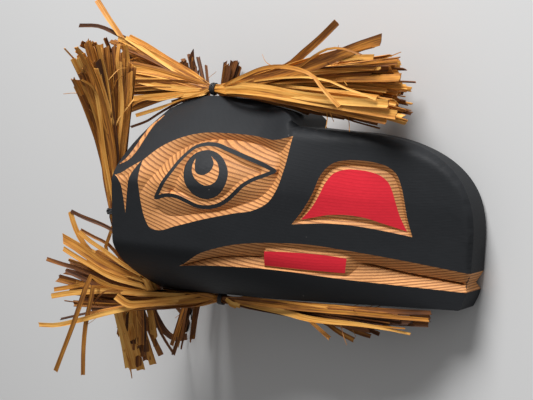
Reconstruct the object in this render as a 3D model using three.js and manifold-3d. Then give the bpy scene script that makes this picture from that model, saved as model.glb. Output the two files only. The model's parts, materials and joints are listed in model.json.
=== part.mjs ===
// Raven mask: a hollow red cedar head, painted black, with four bundles of split cedar bark
// tied to it with black cord. Millimetres, +Z up.
// The mask is drawn in its own directions first: x from the open rim to the tip of the beak,
// y to the left cheek, z to the crown. At the end it is laid down on its left cheek.

import * as THREE from 'three';
import { mergeVertices } from 'three/addons/utils/BufferGeometryUtils.js';
import Module from 'manifold-3d';

const wasm = await Module();
wasm.setup();

// Driving dimensions of the head
const headLength = 248;        // rim to the front of the beak
const stepPlace = 121.8;       // where the forehead ends in a step above the beak
const beakRootHeight = 46.6;   // top of the beak at that step
const culmenStart = { x: 170, z: -20 };  // centre of the elliptical arc of the beak's top
const culmenReach = headLength - culmenStart.x;
const culmenRise = 63.5;
const chinHeight = -80;        // underside of the jaw at the rim
const chinBend = 15;           // from here forward the underside rises
const jawTip = { x: 242, z: -61 };
const mouthHeight = -38;       // where the beak's front meets the lower jaw
const widestTop = 3;           // the cheeks are widest between these two heights
const widestBottom = -38;
const wall = 12;               // thickness of the carved shell
const cavityDepth = 104;
const flatSpot = 0.6;          // how deep the resting cheek is flattened
const restTilt = 13.1;         // degrees that the mask leans once it lies on cheek and beak
const gap = 0.3;               // clearance between pieces that touch

// Driving dimensions of the bark and its ties
const waistRadius = 2.8;       // a bundle where its cord draws it together
const cordThickness = 1.5;
const tieWidth = 5;
const pegRadius = 1;           // the cord's end in its small hole in the wood
const pegHole = 1.45;
const tieRadius = waistRadius + gap + cordThickness;

// A smooth line through knots of place and value that never overshoots them
function rail(knots) {
  const rise = knots.slice(1).map((knot, i) => (knot[1] - knots[i][1]) / (knot[0] - knots[i][0]));
  const slopes = knots.map((knot, i) => {
    if (i === 0) return rise[0];
    if (i === rise.length) return rise[i - 1];
    return rise[i - 1] * rise[i] > 0 ? 2 * rise[i - 1] * rise[i] / (rise[i - 1] + rise[i]) : 0;
  });
  return (place) => {
    let i = 0;
    while (i < rise.length - 1 && place > knots[i + 1][0]) i += 1;
    const span = knots[i + 1][0] - knots[i][0];
    const t = THREE.MathUtils.clamp((place - knots[i][0]) / span, 0, 1);
    const s = 1 - t;
    return knots[i][1] * s * s * (1 + 2 * t) + knots[i + 1][1] * t * t * (1 + 2 * s)
      + slopes[i] * span * t * s * s - slopes[i + 1] * span * t * t * s;
  };
}

// Half widths of the head along its length: at the cheeks, at its top line, at its underside
const cheekHalf = rail([[0, 66], [35, 61], [70, 52], [100, 42.5], [121, 35.5], [160, 25.5],
  [200, 18.5], [235, 14.5], [headLength, 13.4]]);
const crownHalf = rail([[0, 4], [60, 4], [75, 5], [93, 10], [104, 16], [114, 22], [121, 24],
  [160, 20], [185, 16], [215, 13.5], [headLength, 13]]);
const chinHalf = rail([[0, 4], [53, 8], [121, 16], [200, 13], [headLength, 12]]);

// The forehead's top line, which rolls over into the step above the beak
const foreheadLine = rail([[0, 54.5], [18, 61.5], [40, 65.6], [70, 64], [100, 59.3], [110, 57.2],
  [114, 56], [118, 53.2], [120.5, 49.6], [stepPlace, beakRootHeight]]);

function topLine(x) {
  if (x <= stepPlace) return foreheadLine(x);
  const crest = culmenStart.z + culmenRise;
  if (x <= culmenStart.x) {
    return THREE.MathUtils.mapLinear(x, stepPlace, culmenStart.x, beakRootHeight, crest);
  }
  const along = Math.min((x - culmenStart.x) / culmenReach, 1);
  return culmenStart.z + culmenRise * Math.sqrt(1 - along * along);
}

function bottomLine(x) {
  if (x <= chinBend) return chinHeight;
  if (x <= jawTip.x) {
    return THREE.MathUtils.mapLinear(x, chinBend, jawTip.x, chinHeight, jawTip.z);
  }
  const along = Math.sqrt(Math.max(headLength - x, 0) / (headLength - jawTip.x));
  return mouthHeight + (jawTip.z - mouthHeight) * along;
}

// How far a point of the side view lies inside the beak's outline
function insideBeak(x, z) {
  const across = (x - culmenStart.x) / culmenReach;
  const up = (z - culmenStart.z) / culmenRise;
  if (across < 0) return topLine(x) - z;
  if (up < 0) return headLength - x;
  const share = Math.max(Math.hypot(across, up), 0.05);
  return Math.hypot(x - culmenStart.x, z - culmenStart.z) * (1 / share - 1);
}

// Half width of the head at a point of its side view
function halfWidth(x, z) {
  const cheek = cheekHalf(x);
  const low = cheek * 0.95;
  const upperStart = Math.min(widestTop, topLine(x) - 22);
  let width = THREE.MathUtils.lerp(low, cheek,
    THREE.MathUtils.clamp((z - widestBottom) / (widestTop - widestBottom), 0, 1));
  if (z > upperStart) {
    const up = THREE.MathUtils.clamp((z - upperStart) / (topLine(x) - upperStart), 0, 1.2);
    width = cheek + (crownHalf(x) - cheek) * up ** 1.5;
  } else if (z < widestBottom) {
    const down = (widestBottom - z) / (widestBottom - Math.min(bottomLine(x), widestBottom - 4));
    width = low + (chinHalf(x) - low) * Math.min(down, 1.2) ** 1.7;
  }
  if (x < stepPlace) return width;
  const round = THREE.MathUtils.lerp(8, 3, THREE.MathUtils.clamp((x - 205) / 38, 0, 1));
  const inside = THREE.MathUtils.clamp(insideBeak(x, z), 0, round);
  return width - round + Math.sqrt(round * round - (round - inside) ** 2);
}

// Solids

// A closed mesh through rings of equally many points, with a fan to a centre over each end
function loft(rings, centres = [null, null]) {
  const count = rings[0].length;
  const points = rings.flat();
  const faces = [];
  for (let r = 0; r + 1 < rings.length; r += 1) {
    for (let i = 0; i < count; i += 1) {
      const a = r * count + i;
      const b = r * count + (i + 1) % count;
      faces.push(a, b, b + count, a, b + count, a + count);
    }
  }
  for (const [r, end] of [[0, 0], [rings.length - 1, 1]]) {
    const middle = new THREE.Vector3();
    rings[r].forEach((point) => middle.addScaledVector(point, 1 / count));
    points.push(centres[end] ?? middle);
    for (let i = 0; i < count; i += 1) {
      const a = r * count + i;
      const b = r * count + (i + 1) % count;
      faces.push(points.length - 1, ...(end ? [a, b] : [b, a]));
    }
  }
  const geometry = new THREE.BufferGeometry().setFromPoints(points);
  geometry.setIndex(faces);
  return geometry;
}

// A closed three.js geometry as a solid that can be joined and cut
function solid(geometry) {
  const bare = geometry.clone();
  bare.deleteAttribute('normal');
  bare.deleteAttribute('uv');
  const merged = mergeVertices(bare, 1e-4);
  const mesh = new wasm.Mesh({
    numProp: 3,
    vertProperties: new Float32Array(merged.attributes.position.array),
    triVerts: new Uint32Array(merged.index.array),
  });
  const body = new wasm.Manifold(mesh);
  if (body.volume() > 0) return body;
  return new wasm.Manifold(new wasm.Mesh({
    numProp: 3,
    vertProperties: mesh.vertProperties,
    triVerts: mesh.triVerts.slice().reverse(),
  }));
}

function geometryOf(body) {
  const mesh = body.getMesh();
  const geometry = new THREE.BufferGeometry();
  geometry.setAttribute('position', new THREE.BufferAttribute(mesh.vertProperties, 3));
  geometry.setIndex(new THREE.BufferAttribute(mesh.triVerts, 1));
  geometry.computeVertexNormals();
  return geometry;
}

function placed(geometry, x, y, z) {
  return geometry.translate(x, y, z);
}

// A cutter on the right side of the mask with its copy on the left
function bothSides({ rings, centres }) {
  const mirrored = (p) => p && new THREE.Vector3(p.x, -p.y, p.z);
  const otherRings = rings.map((ring) => ring.map(mirrored));
  return solid(loft(rings, centres)).add(solid(loft(otherRings, centres?.map(mirrored))));
}

// The carved head

// Where the head is sliced across, closer together where its outline turns
const headPlaces = [0, 9, 20, 32, 45, 58, 70, 82, 93, 103, 110, 114, 118, 120.5, stepPlace,
  134, 148, 162, 174, 186, 197, 207, 216, 225, 233, 239, 243.5, 246.5, headLength];
const sideSteps = [0, 0.025, 0.07, 0.13, 0.21, 0.31, 0.42, 0.54, 0.66, 0.77, 0.87, 0.94, 1];

function headRing(x, grown = 0) {
  const side = sideSteps.map((share) => {
    const z = THREE.MathUtils.lerp(topLine(x), bottomLine(x), share);
    const grownZ = z + THREE.MathUtils.lerp(grown, -grown, share);
    return new THREE.Vector3(x, halfWidth(x, z) + grown, grownZ);
  });
  const other = side.map((p) => new THREE.Vector3(x, -p.y, p.z)).reverse();
  return [...side, ...other];
}

// The uncarved block of the head, or a slightly larger one that the bark keeps clear of
function headBlock(grown = 0) {
  const rings = headPlaces.map((x) => headRing(x, grown));
  if (grown > 0) {
    const moved = (ring, distance) => ring.map((p) => new THREE.Vector3(p.x + distance, p.y, p.z));
    rings.unshift(moved(rings[0], -grown));
    rings.push(moved(rings[rings.length - 1], grown));
  }
  return solid(loft(rings));
}

// The hollow behind the face follows the head a wall's thickness inside it
function cavityRing(x) {
  const shrink = Math.sqrt(1 - Math.max(x / cavityDepth, 0) ** 2.6);
  const sides = 16;
  const ring = [];
  const place = THREE.MathUtils.clamp(x, 0, cavityDepth);
  const top = topLine(place) - wall;
  const bottom = bottomLine(place) + wall;
  const middle = (top + bottom) / 2;
  for (let i = 0; i < sides; i += 1) {
    const turn = (i + 0.5) / sides * 2 * Math.PI;
    const z = middle + Math.sin(turn) * (top - bottom) / 2;
    const reach = (halfWidth(place, z) - wall * 0.9) / Math.max(Math.abs(Math.cos(turn)), 0.35);
    const y = Math.cos(turn) * Math.max(reach, 3);
    ring.push(new THREE.Vector3(x, y * shrink, middle + (z - middle) * shrink));
  }
  return ring;
}

// Carved hollows of the face, as points of the side view and depths below the surface

const rightSide = -1;
const proud = 6;               // how far a cutter stands out of the surface
const flare = 1.2;             // how far its slopes run on outside, so that its edge is clean

function onFace(point, depth) {
  return new THREE.Vector3(point.x, rightSide * (halfWidth(point.x, point.y) - depth), point.y);
}

function outline(places) {
  return places.map(([x, z]) => new THREE.Vector2(x, z));
}

function smoothOutline(places, count) {
  const points = places.map(([x, z]) => new THREE.Vector3(x, z, 0));
  const curve = new THREE.CatmullRomCurve3(points, true, 'centripetal');
  return curve.getSpacedPoints(count).slice(0, count).map((p) => new THREE.Vector2(p.x, p.y));
}

// Where the ray from a centre through a point leaves a closed outline
function reachOf(closed, centre, through) {
  const ray = through.clone().sub(centre).normalize();
  let reach = 0;
  closed.forEach((from, i) => {
    const edge = closed[(i + 1) % closed.length].clone().sub(from);
    const start = from.clone().sub(centre);
    const turn = ray.cross(edge);
    if (Math.abs(turn) < 1e-9) return;
    const along = start.cross(ray) / turn;
    const away = start.cross(edge) / turn;
    if (along >= -1e-6 && along <= 1 + 1e-6) reach = Math.max(reach, away);
  });
  return centre.clone().addScaledVector(ray, reach);
}

// The point just outside the surface on the slope from a rim point down to a sunken one
function flared(rimPoint, sunken, depth) {
  return rimPoint.clone().addScaledVector(rimPoint.clone().sub(sunken), flare / depth);
}

// A cutter whose floor steps inwards ring by ring, from its rim to a centre
function hollow(rim, rings, centre, centreDepth) {
  const first = rings[0];
  const outer = rim.map((p, i) => flared(p, first.points[i], first.depth(i)));
  const levels = rings.map(({ points, depth }) => points.map((p, i) => onFace(p, depth(i))));
  return {
    rings: [
      outer.map((p) => onFace(p, -proud)),
      outer.map((p) => onFace(p, -flare)),
      ...levels,
    ],
    centres: [onFace(centre, -proud), onFace(centre, centreDepth)],
  };
}

// A groove between two edges with its deepest line between them, at one place along it
function groove(high, deep, low, depth) {
  const above = flared(high, deep, depth);
  const below = flared(low, deep, depth);
  return [onFace(above, -proud), onFace(above, -flare), onFace(deep, depth),
    onFace(below, -flare), onFace(below, -proud)];
}

// Eye socket, sunk under the brow, with the lids and the eyeball left standing in it
const socketOutline = outline([[122.5, 41], [112, 38], [92, 39.5], [70, 40], [52, 39], [38, 34.5],
  [27, 27.5], [19, 18], [20.5, 9], [22, 0], [24, -12], [27, -22], [31, -28], [37, -29], [50, -25],
  [70, -18.5], [90, -13], [104, -9.5], [113, -3.5], [118, 5], [121, 18], [122.5, 32]]);
const lidLine = [[33, -6.5], [37, 1], [43.5, 13], [49, 24.5], [54, 29.5], [61, 32], [69, 31.5],
  [81, 27.5], [97, 23], [114, 17], [99, 9], [91, 1.5], [83, -6], [78, -9], [71, -11], [64, -9.5],
  [56, -6], [47, -4]];
const eyeCentre = new THREE.Vector2(68, 11);
const lidHalfWidth = 1.5;
const socketDepth = 5;
const lidDepth = 2.6;
const eyeCornerDepth = 6;
const eyeballDepth = 1.8;

function eyeRings() {
  const lid = smoothOutline(lidLine, 38);
  const rim = lid.map((p) => reachOf(socketOutline, eyeCentre, p));
  const between = (share) => rim.map((p, i) => p.clone().lerp(lid[i], share));
  const besideLid = (offset) => lid.map((p) => {
    const ray = p.clone().sub(eyeCentre);
    return eyeCentre.clone().addScaledVector(ray, Math.max(1 + offset / ray.length(), 0.2));
  });
  const inner = (share) => besideLid(-4).map((p) => eyeCentre.clone().lerp(p, share));
  const level = (depth) => () => depth;
  const firstDepth = (i) => (rim[i].y > lid[i].y ? socketDepth : socketDepth * 0.6);
  return hollow(rim, [
    { points: between(0.3), depth: firstDepth },
    { points: besideLid(lidHalfWidth + 1.4), depth: level(socketDepth) },
    { points: besideLid(lidHalfWidth), depth: level(lidDepth) },
    { points: besideLid(-lidHalfWidth), depth: level(lidDepth) },
    { points: besideLid(-3.2), depth: level(eyeCornerDepth) },
    { points: inner(0.72), depth: level(eyeballDepth + 1.6) },
    { points: inner(0.36), depth: level(eyeballDepth + 0.4) },
  ], eyeCentre, eyeballDepth);
}

// Nostril: a V groove round a raised field that lies a little below the surface
const nostrilOutline = [[129, -17], [135, -9.5], [142, 3], [148, 16.5], [152, 24], [158, 27],
  [171, 28], [184, 27], [192.5, 24.5], [198, 19.5], [202, 8], [205, -5.5], [209.5, -18],
  [196, -16], [181, -14.5], [164, -13.7], [148, -14.5]];
const nostrilGroove = outline([[131.6, -15.5], [140, -1], [147.8, 16.4], [151.6, 21], [156.8, 23.4],
  [163.7, 24.3], [181, 23.8], [188.3, 22.2], [192.9, 19.2], [196.5, 13.6], [201.2, -1],
  [206.6, -15.8], [186.4, -13], [163.2, -11.4], [140, -13.4]]);
const nostrilField = outline([[134.3, -13.6], [145.6, 3.2], [149.6, 12.7], [154, 18.5],
  [161.2, 21.5], [178, 21.3], [185, 19.4], [190.6, 15.6], [194, 10], [199.6, -4.4],
  [205.3, -14.8], [188, -11], [170, -8], [152, -9]]);
const nostrilCentre = new THREE.Vector2(171, 4);
const nostrilDepth = 3;
const nostrilFieldDepth = 1.3;

function nostrilRings() {
  const rim = outline(nostrilOutline);
  const ring = (closed, depth) => ({
    points: rim.map((p) => reachOf(closed, nostrilCentre, p)),
    depth: () => depth,
  });
  const rings = [ring(nostrilGroove, nostrilDepth), ring(nostrilField, nostrilFieldDepth)];
  return hollow(rim, rings, nostrilCentre, nostrilFieldDepth);
}

// Mouth: a V between the lips from the corner under the eye to the front of the beak
const upperLip = rail([[46, -54], [49, -53], [70, -41], [94, -33.5], [112, -31], [139, -29.3],
  [167, -30.5], [208, -33.3], [headLength + 4, -36.6]]);
const lowerLip = rail([[46, -54.4], [49, -53.6], [80, -50.3], [112, -48.4], [167, -49.8],
  [headLength + 4, -49]]);
const lipLine = rail([[46, -54.2], [52.5, -52], [78, -44.5], [108, -41], [172, -38.5], [206, -42],
  [headLength + 4, -44.5]]);
const mouthDepth = rail([[46, 1], [60, 3.5], [90, 7], [170, 7], [210, 5], [headLength + 4, 3]]);
const mouthPlaces = [47, 53, 60, 70, 82, 97, 112, 130, 150, 170, 190, 210, 228, 240, 246, 254];

function mouthRings() {
  const rings = mouthPlaces.map((x) => {
    const high = new THREE.Vector2(x, upperLip(x));
    const low = new THREE.Vector2(x, lowerLip(x));
    const deep = new THREE.Vector2(x, lipLine(x));
    return groove(high, deep, low, mouthDepth(x));
  });
  return { rings };
}

// The tongue is a block left standing in the mouth
const tongue = { back: 110.5, face: 165.5, front: 170.5, top: -34.6, bottom: -46.8, sunk: 1.6 };

function tongueRings() {
  const places = [[tongue.back - 0.5, 0], [tongue.back, 0], [128, 0], [147, 0], [tongue.face, 0],
    [tongue.front, 4.5]];
  const rings = places.map(([x, extra]) => {
    const top = tongue.top - extra * 0.1;
    const corner = (z, depth) => onFace(new THREE.Vector2(x, z), depth);
    return [corner(tongue.bottom - 4, 14), corner(tongue.bottom, tongue.sunk + extra),
      corner(top, tongue.sunk + extra), corner(top + 2.4, tongue.sunk + 1.6 + extra),
      corner(top + 5, 14)];
  });
  return { rings };
}

// Where the mouth runs round the front of the beak
function mouthFront() {
  const notch = [[headLength + 5, -36.6], [headLength, -36.6], [headLength - 3, -44.5],
    [headLength, -49], [headLength + 5, -49]];
  const halfLength = 22;
  return loft([-halfLength, halfLength].map((y) => notch.map(([x, z]) => new THREE.Vector3(x, y, z))));
}

// Two shallow ornaments behind the eye: a curved stripe and a spike with an arm
const ornamentDepth = 1.6;
const stripeLine = [[4, 49.5], [2, 43], [5.5, 33], [7, 25], [5.5, 18], [1, 14.2]];
const stripeHalf = [0.6, 2, 2.2, 2.2, 1.8, 0.6];
const spikeOutline = outline([[1.5, 6.5], [10.5, 11.5], [18, 17.4], [14.2, 8], [12.8, -2],
  [11, -19], [8.8, -6], [7.6, 1]]);
const spikeCentre = new THREE.Vector2(11, 5.2);

function stripeRings() {
  const rings = stripeLine.map(([x, z], i) => {
    const beside = (offset) => new THREE.Vector2(x + offset, z);
    const half = stripeHalf[i];
    return groove(beside(-half), beside(0), beside(half), ornamentDepth * half / 2);
  });
  return { rings };
}

// The spike's two halves slope down to its middle
function spikeRings() {
  const inner = spikeOutline.map((p) => p.clone().lerp(spikeCentre, 0.8));
  const level = { points: inner, depth: () => ornamentDepth * 0.8 };
  return hollow(spikeOutline, [level], spikeCentre, ornamentDepth);
}

// Ties of black cord: a band round the waist of a bundle and a peg into a hole in the wood

const tieSeat = tieRadius + gap;
const ties = {
  tie_top: { at: [37, 0, topLine(37) + tieSeat], along: 'x', peg: [0, 0, -1] },
  tie_bottom: { at: [53, 0, bottomLine(53) - tieSeat], along: 'x', peg: [0, 0, 1] },
  tie_right: { at: [-tieSeat, -57, -20], along: 'z', peg: [1, 0, 0] },
  tie_left: { at: [-tieSeat, 57, -20], along: 'z', peg: [1, 0, 0] },
};
const pegLength = 7;

function pegOf(tie, radius, length, sides) {
  const peg = new THREE.CylinderGeometry(radius, radius, length, sides);
  const direction = new THREE.Vector3(...tie.peg);
  peg.translate(0, length / 2, 0);
  peg.applyQuaternion(new THREE.Quaternion().setFromUnitVectors(new THREE.Vector3(0, 1, 0),
    direction));
  return placed(peg, ...tie.at);
}

function tieGeometry(tie) {
  const inner = waistRadius + gap;
  const half = tieWidth / 2;
  const turnSteps = 14;
  const section = [[inner, -half], [tieRadius, -half * 0.8], [tieRadius - 0.35, 0],
    [tieRadius, half * 0.8], [inner, half], [inner, -half]];
  const band = new THREE.LatheGeometry(section.map(([r, h]) => new THREE.Vector2(r, h)), turnSteps);
  if (tie.along === 'x') band.rotateZ(Math.PI / 2);
  if (tie.along === 'z') band.rotateX(Math.PI / 2);
  placed(band, ...tie.at);
  const start = new THREE.Vector3(...tie.peg).multiplyScalar(tieRadius - cordThickness / 2);
  const peg = pegOf(tie, pegRadius, pegLength, 8).translate(start.x, start.y, start.z);
  return solid(band).add(solid(peg));
}

function carvedHead() {
  let head = headBlock();
  const cavityPlaces = [-6, 0, 25, 48, 68, 84, 95, 101, 103.6];
  head = head.subtract(solid(loft(cavityPlaces.map(cavityRing))));
  head = head.subtract(bothSides(eyeRings()));
  head = head.subtract(bothSides(nostrilRings()));
  head = head.subtract(bothSides(mouthRings()).subtract(bothSides(tongueRings())));
  head = head.subtract(solid(mouthFront()));
  head = head.subtract(bothSides(stripeRings()));
  head = head.subtract(bothSides(spikeRings()));
  for (const tie of Object.values(ties)) {
    head = head.subtract(solid(pegOf(tie, pegHole, tieRadius + pegLength + 4, 10)));
  }
  return head;
}

// The mask as it lies

const lean = THREE.MathUtils.degToRad(restTilt);

// Height of a point of the mask over the plane through the rim's left edge, once laid down
function lyingHeight(x, y) {
  return -(x * Math.sin(lean) + y * Math.cos(lean));
}

// The lowest reach of the left cheek, which the flat spot shortens a little
function restingHeight() {
  let lowest = Infinity;
  for (const x of headPlaces) {
    for (const share of sideSteps) {
      const z = THREE.MathUtils.lerp(topLine(x), bottomLine(x), share);
      lowest = Math.min(lowest, lyingHeight(x, halfWidth(x, z)));
    }
  }
  return lowest + flatSpot;
}

// Everything below the resting plane
function floorBlock() {
  const size = 700;
  const block = new THREE.BoxGeometry(size, size, size);
  block.translate(0, restingHeight() - size / 2, 0);
  block.rotateX(Math.PI);
  block.rotateZ(-lean);
  return solid(block);
}

// Bundles of split bark: strips that leave a tied waist, each with its own bend and tip

// A strip swept along a bent line, thin at the waist and wider at its tip
function strip(waist, tip, bend, width, thickness) {
  const start = new THREE.Vector3(...waist);
  const end = new THREE.Vector3(...tip);
  const middle = start.clone().lerp(end, 0.45).add(new THREE.Vector3(...bend));
  const curve = new THREE.QuadraticBezierCurve3(start, middle, end);
  const steps = 3;
  const rings = [];
  for (let i = 0; i <= steps; i += 1) {
    const share = i / steps;
    const at = curve.getPoint(share);
    const ahead = curve.getTangent(share);
    const face = Math.abs(ahead.y) < 0.8 ? new THREE.Vector3(0, 1, 0) : new THREE.Vector3(0, 0, 1);
    const across = new THREE.Vector3().crossVectors(ahead, face).normalize();
    const through = new THREE.Vector3().crossVectors(across, ahead).normalize();
    const w = THREE.MathUtils.lerp(1.6, width / 2, Math.sqrt(share));
    const t = THREE.MathUtils.lerp(1.6, thickness / 2, Math.sqrt(share));
    rings.push([[w, t], [-w, t], [-w, -t], [w, -t]].map(([a, b]) => at.clone()
      .addScaledVector(across, a).addScaledVector(through, b)));
  }
  return solid(loft(rings));
}

// The drawn-together waist under the cord, with both halves of the bundle growing from it
function bundle(tie, halves) {
  const core = new THREE.CylinderGeometry(waistRadius, waistRadius, tieWidth + 5, 10);
  if (tie.along === 'x') core.rotateZ(Math.PI / 2);
  if (tie.along === 'z') core.rotateX(Math.PI / 2);
  let body = solid(placed(core, ...tie.at));
  for (const { leave, strips } of halves) {
    const waist = new THREE.Vector3(...tie.at).add(new THREE.Vector3(...leave)).toArray();
    for (const [tip, bend, width, thickness] of strips) {
      body = body.add(strip(waist, tip, bend, width, thickness));
    }
  }
  return body;
}

const leaveWaist = tieWidth / 2 + 1.4;
const bundles = {
  bark_bundle_top: ['tie_top', [
    { leave: [-leaveWaist, 0, 0], strips: [
      [[-78, -14, 62], [0, 0, 8], 13, 12], [[-84, 8, 74], [0, 0, 8], 13, 12],
      [[-80, -8, 86], [0, 0, 6], 13, 11], [[-72, 22, 92], [0, 0, 5], 12, 10],
      [[-88, 10, 136], [0, 0, 3], 5, 3], [[-101, 20, 116], [0, 0, 14], 5, 3],
      [[-64, 4, 103], [0, 0, 4], 8, 8], [[-60, -4, 47], [0, 0, 8], 6, 5]] },
    { leave: [leaveWaist, 0, 0], strips: [
      [[205, -26, 62], [0, 0, 11], 13, 12], [[208, -12, 74], [0, 0, 10], 13, 13],
      [[206, 3, 66], [0, 0, 11], 13, 12], [[202, 14, 79], [0, 0, 8], 12, 12],
      [[200, -22, 87], [0, 0, 6], 13, 12], [[196, -2, 94], [0, 0, 4], 12, 12],
      [[184, -28, 102], [0, 0, 2], 7, 5], [[150, -26, 115], [0, 0, -2], 5, 3],
      [[186, 14, 99], [0, 0, 3], 8, 7]] },
  ]],
  bark_bundle_bottom: ['tie_bottom', [
    { leave: [-leaveWaist, 0, 0], strips: [
      [[-84, -46, -72], [12, 4, -10], 12, 10], [[-84, -40, -90], [12, 0, -9], 13, 11],
      [[-80, -30, -80], [12, 0, -11], 12, 11], [[-72, -48, -58], [8, 8, -13], 10, 8],
      [[-60, -49, -44], [-2, 14, -22], 9, 6], [[-79, -52, -113], [11, -22, 9], 6, 4],
      [[-76, -22, -100], [6, 0, -4], 9, 9]] },
    // two strips folded down from the fan
    { leave: [-73, -34, 4], strips: [[[-62, -50, -149], [5, -12, 0], 5, 4]] },
    { leave: [-79, -38, 1], strips: [[[-42, -42, -151.4], [2, -10, 0], 5, 4]] },
    { leave: [leaveWaist, 0, 0], strips: [
      [[214, -12, -72], [0, 0, -3], 9, 12], [[217, 4, -75], [0, 0, -4], 9, 13],
      [[206, 12, -79], [0, 0, -4], 8, 12], [[200, -16, -82], [0, 0, -3], 6, 6],
      [[168, -4, -94], [0, 0, 2], 5, 4], [[146, 8, -96], [0, 0, 3], 5, 4]] },
  ]],
  bark_bundle_right: ['tie_right', [
    { leave: [0, 0, leaveWaist], strips: [
      [[-14, -88, 88], [-3, 2, 6], 13, 12], [[-16, -76, 96], [-3, 2, 2], 13, 12],
      [[-20, -62, 98], [-4, 0, 0], 13, 12], [[-16, -48, 94], [-3, 4, 0], 13, 12],
      [[-26, -58, 88], [-6, 0, 0], 12, 11], [[-10, -40, 84], [-3, 5, 0], 10, 9],
      [[-22, -82, 74], [-4, 0, 4], 9, 8]] },
    { leave: [0, 0, -leaveWaist], strips: [
      [[-36, -6, -122], [-22, 46, 8], 9, 8], [[-38, 7, -136], [-22, 44, 8], 10, 8],
      [[-34, 16, -149], [-22, 44, 8], 9, 8], [[-38, 27, -143], [-22, 42, 8], 10, 8],
      [[-34, 35, -134], [-22, 40, 8], 8, 7]] },
  ]],
  bark_bundle_left: ['tie_left', [
    { leave: [0, 0, leaveWaist], strips: [
      [[-12, 30, 90], [-3, -2, 0], 11, 10], [[-14, 40, 95], [-3, 0, 0], 11, 10],
      [[-10, 50, 88], [-3, 2, 0], 12, 10], [[-2, 57, 90], [-2, 2, 0], 9, 6],
      [[-20, 46, 84], [-5, 0, 0], 11, 10], [[-22, 58, 78], [-5, 0, 0], 10, 8]] },
    { leave: [0, 0, -leaveWaist], strips: [
      [[-8, 24, -138], [0, 2, 0], 9, 8], [[-9, 34, -132], [0, 2, 0], 10, 8],
      [[-8, 45, -128], [0, 2, 0], 10, 8], [[-10, 54, -118], [0, 1, 0], 9, 7],
      [[-6, 58, -106], [0, 1, 0], 8, 6]] },
  ]],
};

// Finishes

function finish(color, roughness) {
  return new THREE.MeshStandardMaterial({ color, roughness, metalness: 0 });
}

const blackPaint = finish(0x2e3336, 0.55);
const cedarBark = finish(0xb9762f, 0.85);
const blackCord = finish(0x1c1d1f, 0.8);

function piece(name, body, material) {
  const mesh = new THREE.Mesh(geometryOf(body), material);
  mesh.name = name;
  return mesh;
}

// Assembly: the head is cut flat where it rests, and the bark stays clear of the head and floor

const head = carvedHead().subtract(floorBlock());
const barkClearance = headBlock(gap + 0.2).add(floorBlock());
const inMaskDirections = new THREE.Group();
inMaskDirections.rotation.z = lean;
inMaskDirections.add(piece('carved_head', head, blackPaint));
for (const [name, tie] of Object.entries(ties)) {
  inMaskDirections.add(piece(name, tieGeometry(tie), blackCord));
}
for (const [name, [tieName, halves]] of Object.entries(bundles)) {
  const bark = bundle(ties[tieName], halves).subtract(barkClearance);
  inMaskDirections.add(piece(name, bark, cedarBark));
}

const mask = new THREE.Group();
const laidDown = new THREE.Group();
laidDown.rotation.x = -Math.PI / 2;
laidDown.position.z = -restingHeight();
laidDown.add(inMaskDirections);
mask.add(laidDown);

// The origin lies on the resting plane, under the middle of everything
mask.updateMatrixWorld(true);
const middle = new THREE.Box3().setFromObject(mask, true).getCenter(new THREE.Vector3());
laidDown.position.x = -middle.x;
laidDown.position.y = -middle.y;

export default mask;
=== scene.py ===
import json
import math
import random

import bmesh
import bpy
import numpy as np
from mathutils import Matrix, Vector
from mathutils.geometry import delaunay_2d_cdt


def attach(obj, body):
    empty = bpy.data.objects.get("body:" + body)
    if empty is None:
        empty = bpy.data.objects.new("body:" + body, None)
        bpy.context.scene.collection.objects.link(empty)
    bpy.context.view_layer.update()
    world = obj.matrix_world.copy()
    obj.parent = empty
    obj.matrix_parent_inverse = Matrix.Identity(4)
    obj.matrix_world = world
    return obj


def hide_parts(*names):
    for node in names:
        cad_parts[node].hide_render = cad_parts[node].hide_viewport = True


# Raven mask: carved cedar head, four bundles of split bark, black cord ties.
# Shapes are worked out in millimetres in the mask's own directions (x towards the beak's tip,
# y to the left cheek, z to the crown), then laid on the left cheek, in metres.
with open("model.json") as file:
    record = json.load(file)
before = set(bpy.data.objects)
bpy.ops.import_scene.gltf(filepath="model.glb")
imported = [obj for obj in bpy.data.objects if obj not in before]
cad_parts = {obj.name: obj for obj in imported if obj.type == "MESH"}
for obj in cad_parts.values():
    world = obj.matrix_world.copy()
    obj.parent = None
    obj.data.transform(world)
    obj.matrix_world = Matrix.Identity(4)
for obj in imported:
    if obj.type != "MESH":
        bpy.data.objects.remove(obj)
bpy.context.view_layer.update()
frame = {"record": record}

# the rim's crown mount says where the rim is and how far the mask leans
rimMount = next(m for m in frame["record"]["mounts"] if m["name"] == "rim_crown")
rimMountHeight = 48.5                       # mm above the mask's own middle line
lean = math.atan2(rimMount["axis"][2], -rimMount["axis"][0])
leanCos, leanSin = math.cos(lean), math.sin(lean)
shift = np.array(rimMount["pos_m"]) * 1000 - np.array([0, rimMountHeight, 0])


def turned(points):
    # mask directions into the frame's directions
    p = np.asarray(points, float).reshape(-1, 3)
    return np.column_stack([p[:, 0] * leanCos - p[:, 1] * leanSin, p[:, 2],
                            -p[:, 0] * leanSin - p[:, 1] * leanCos])


def lay(points):
    # mask millimetres into the frame, in metres
    return (turned(points) + shift) / 1000


# Camera, light and floor

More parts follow.
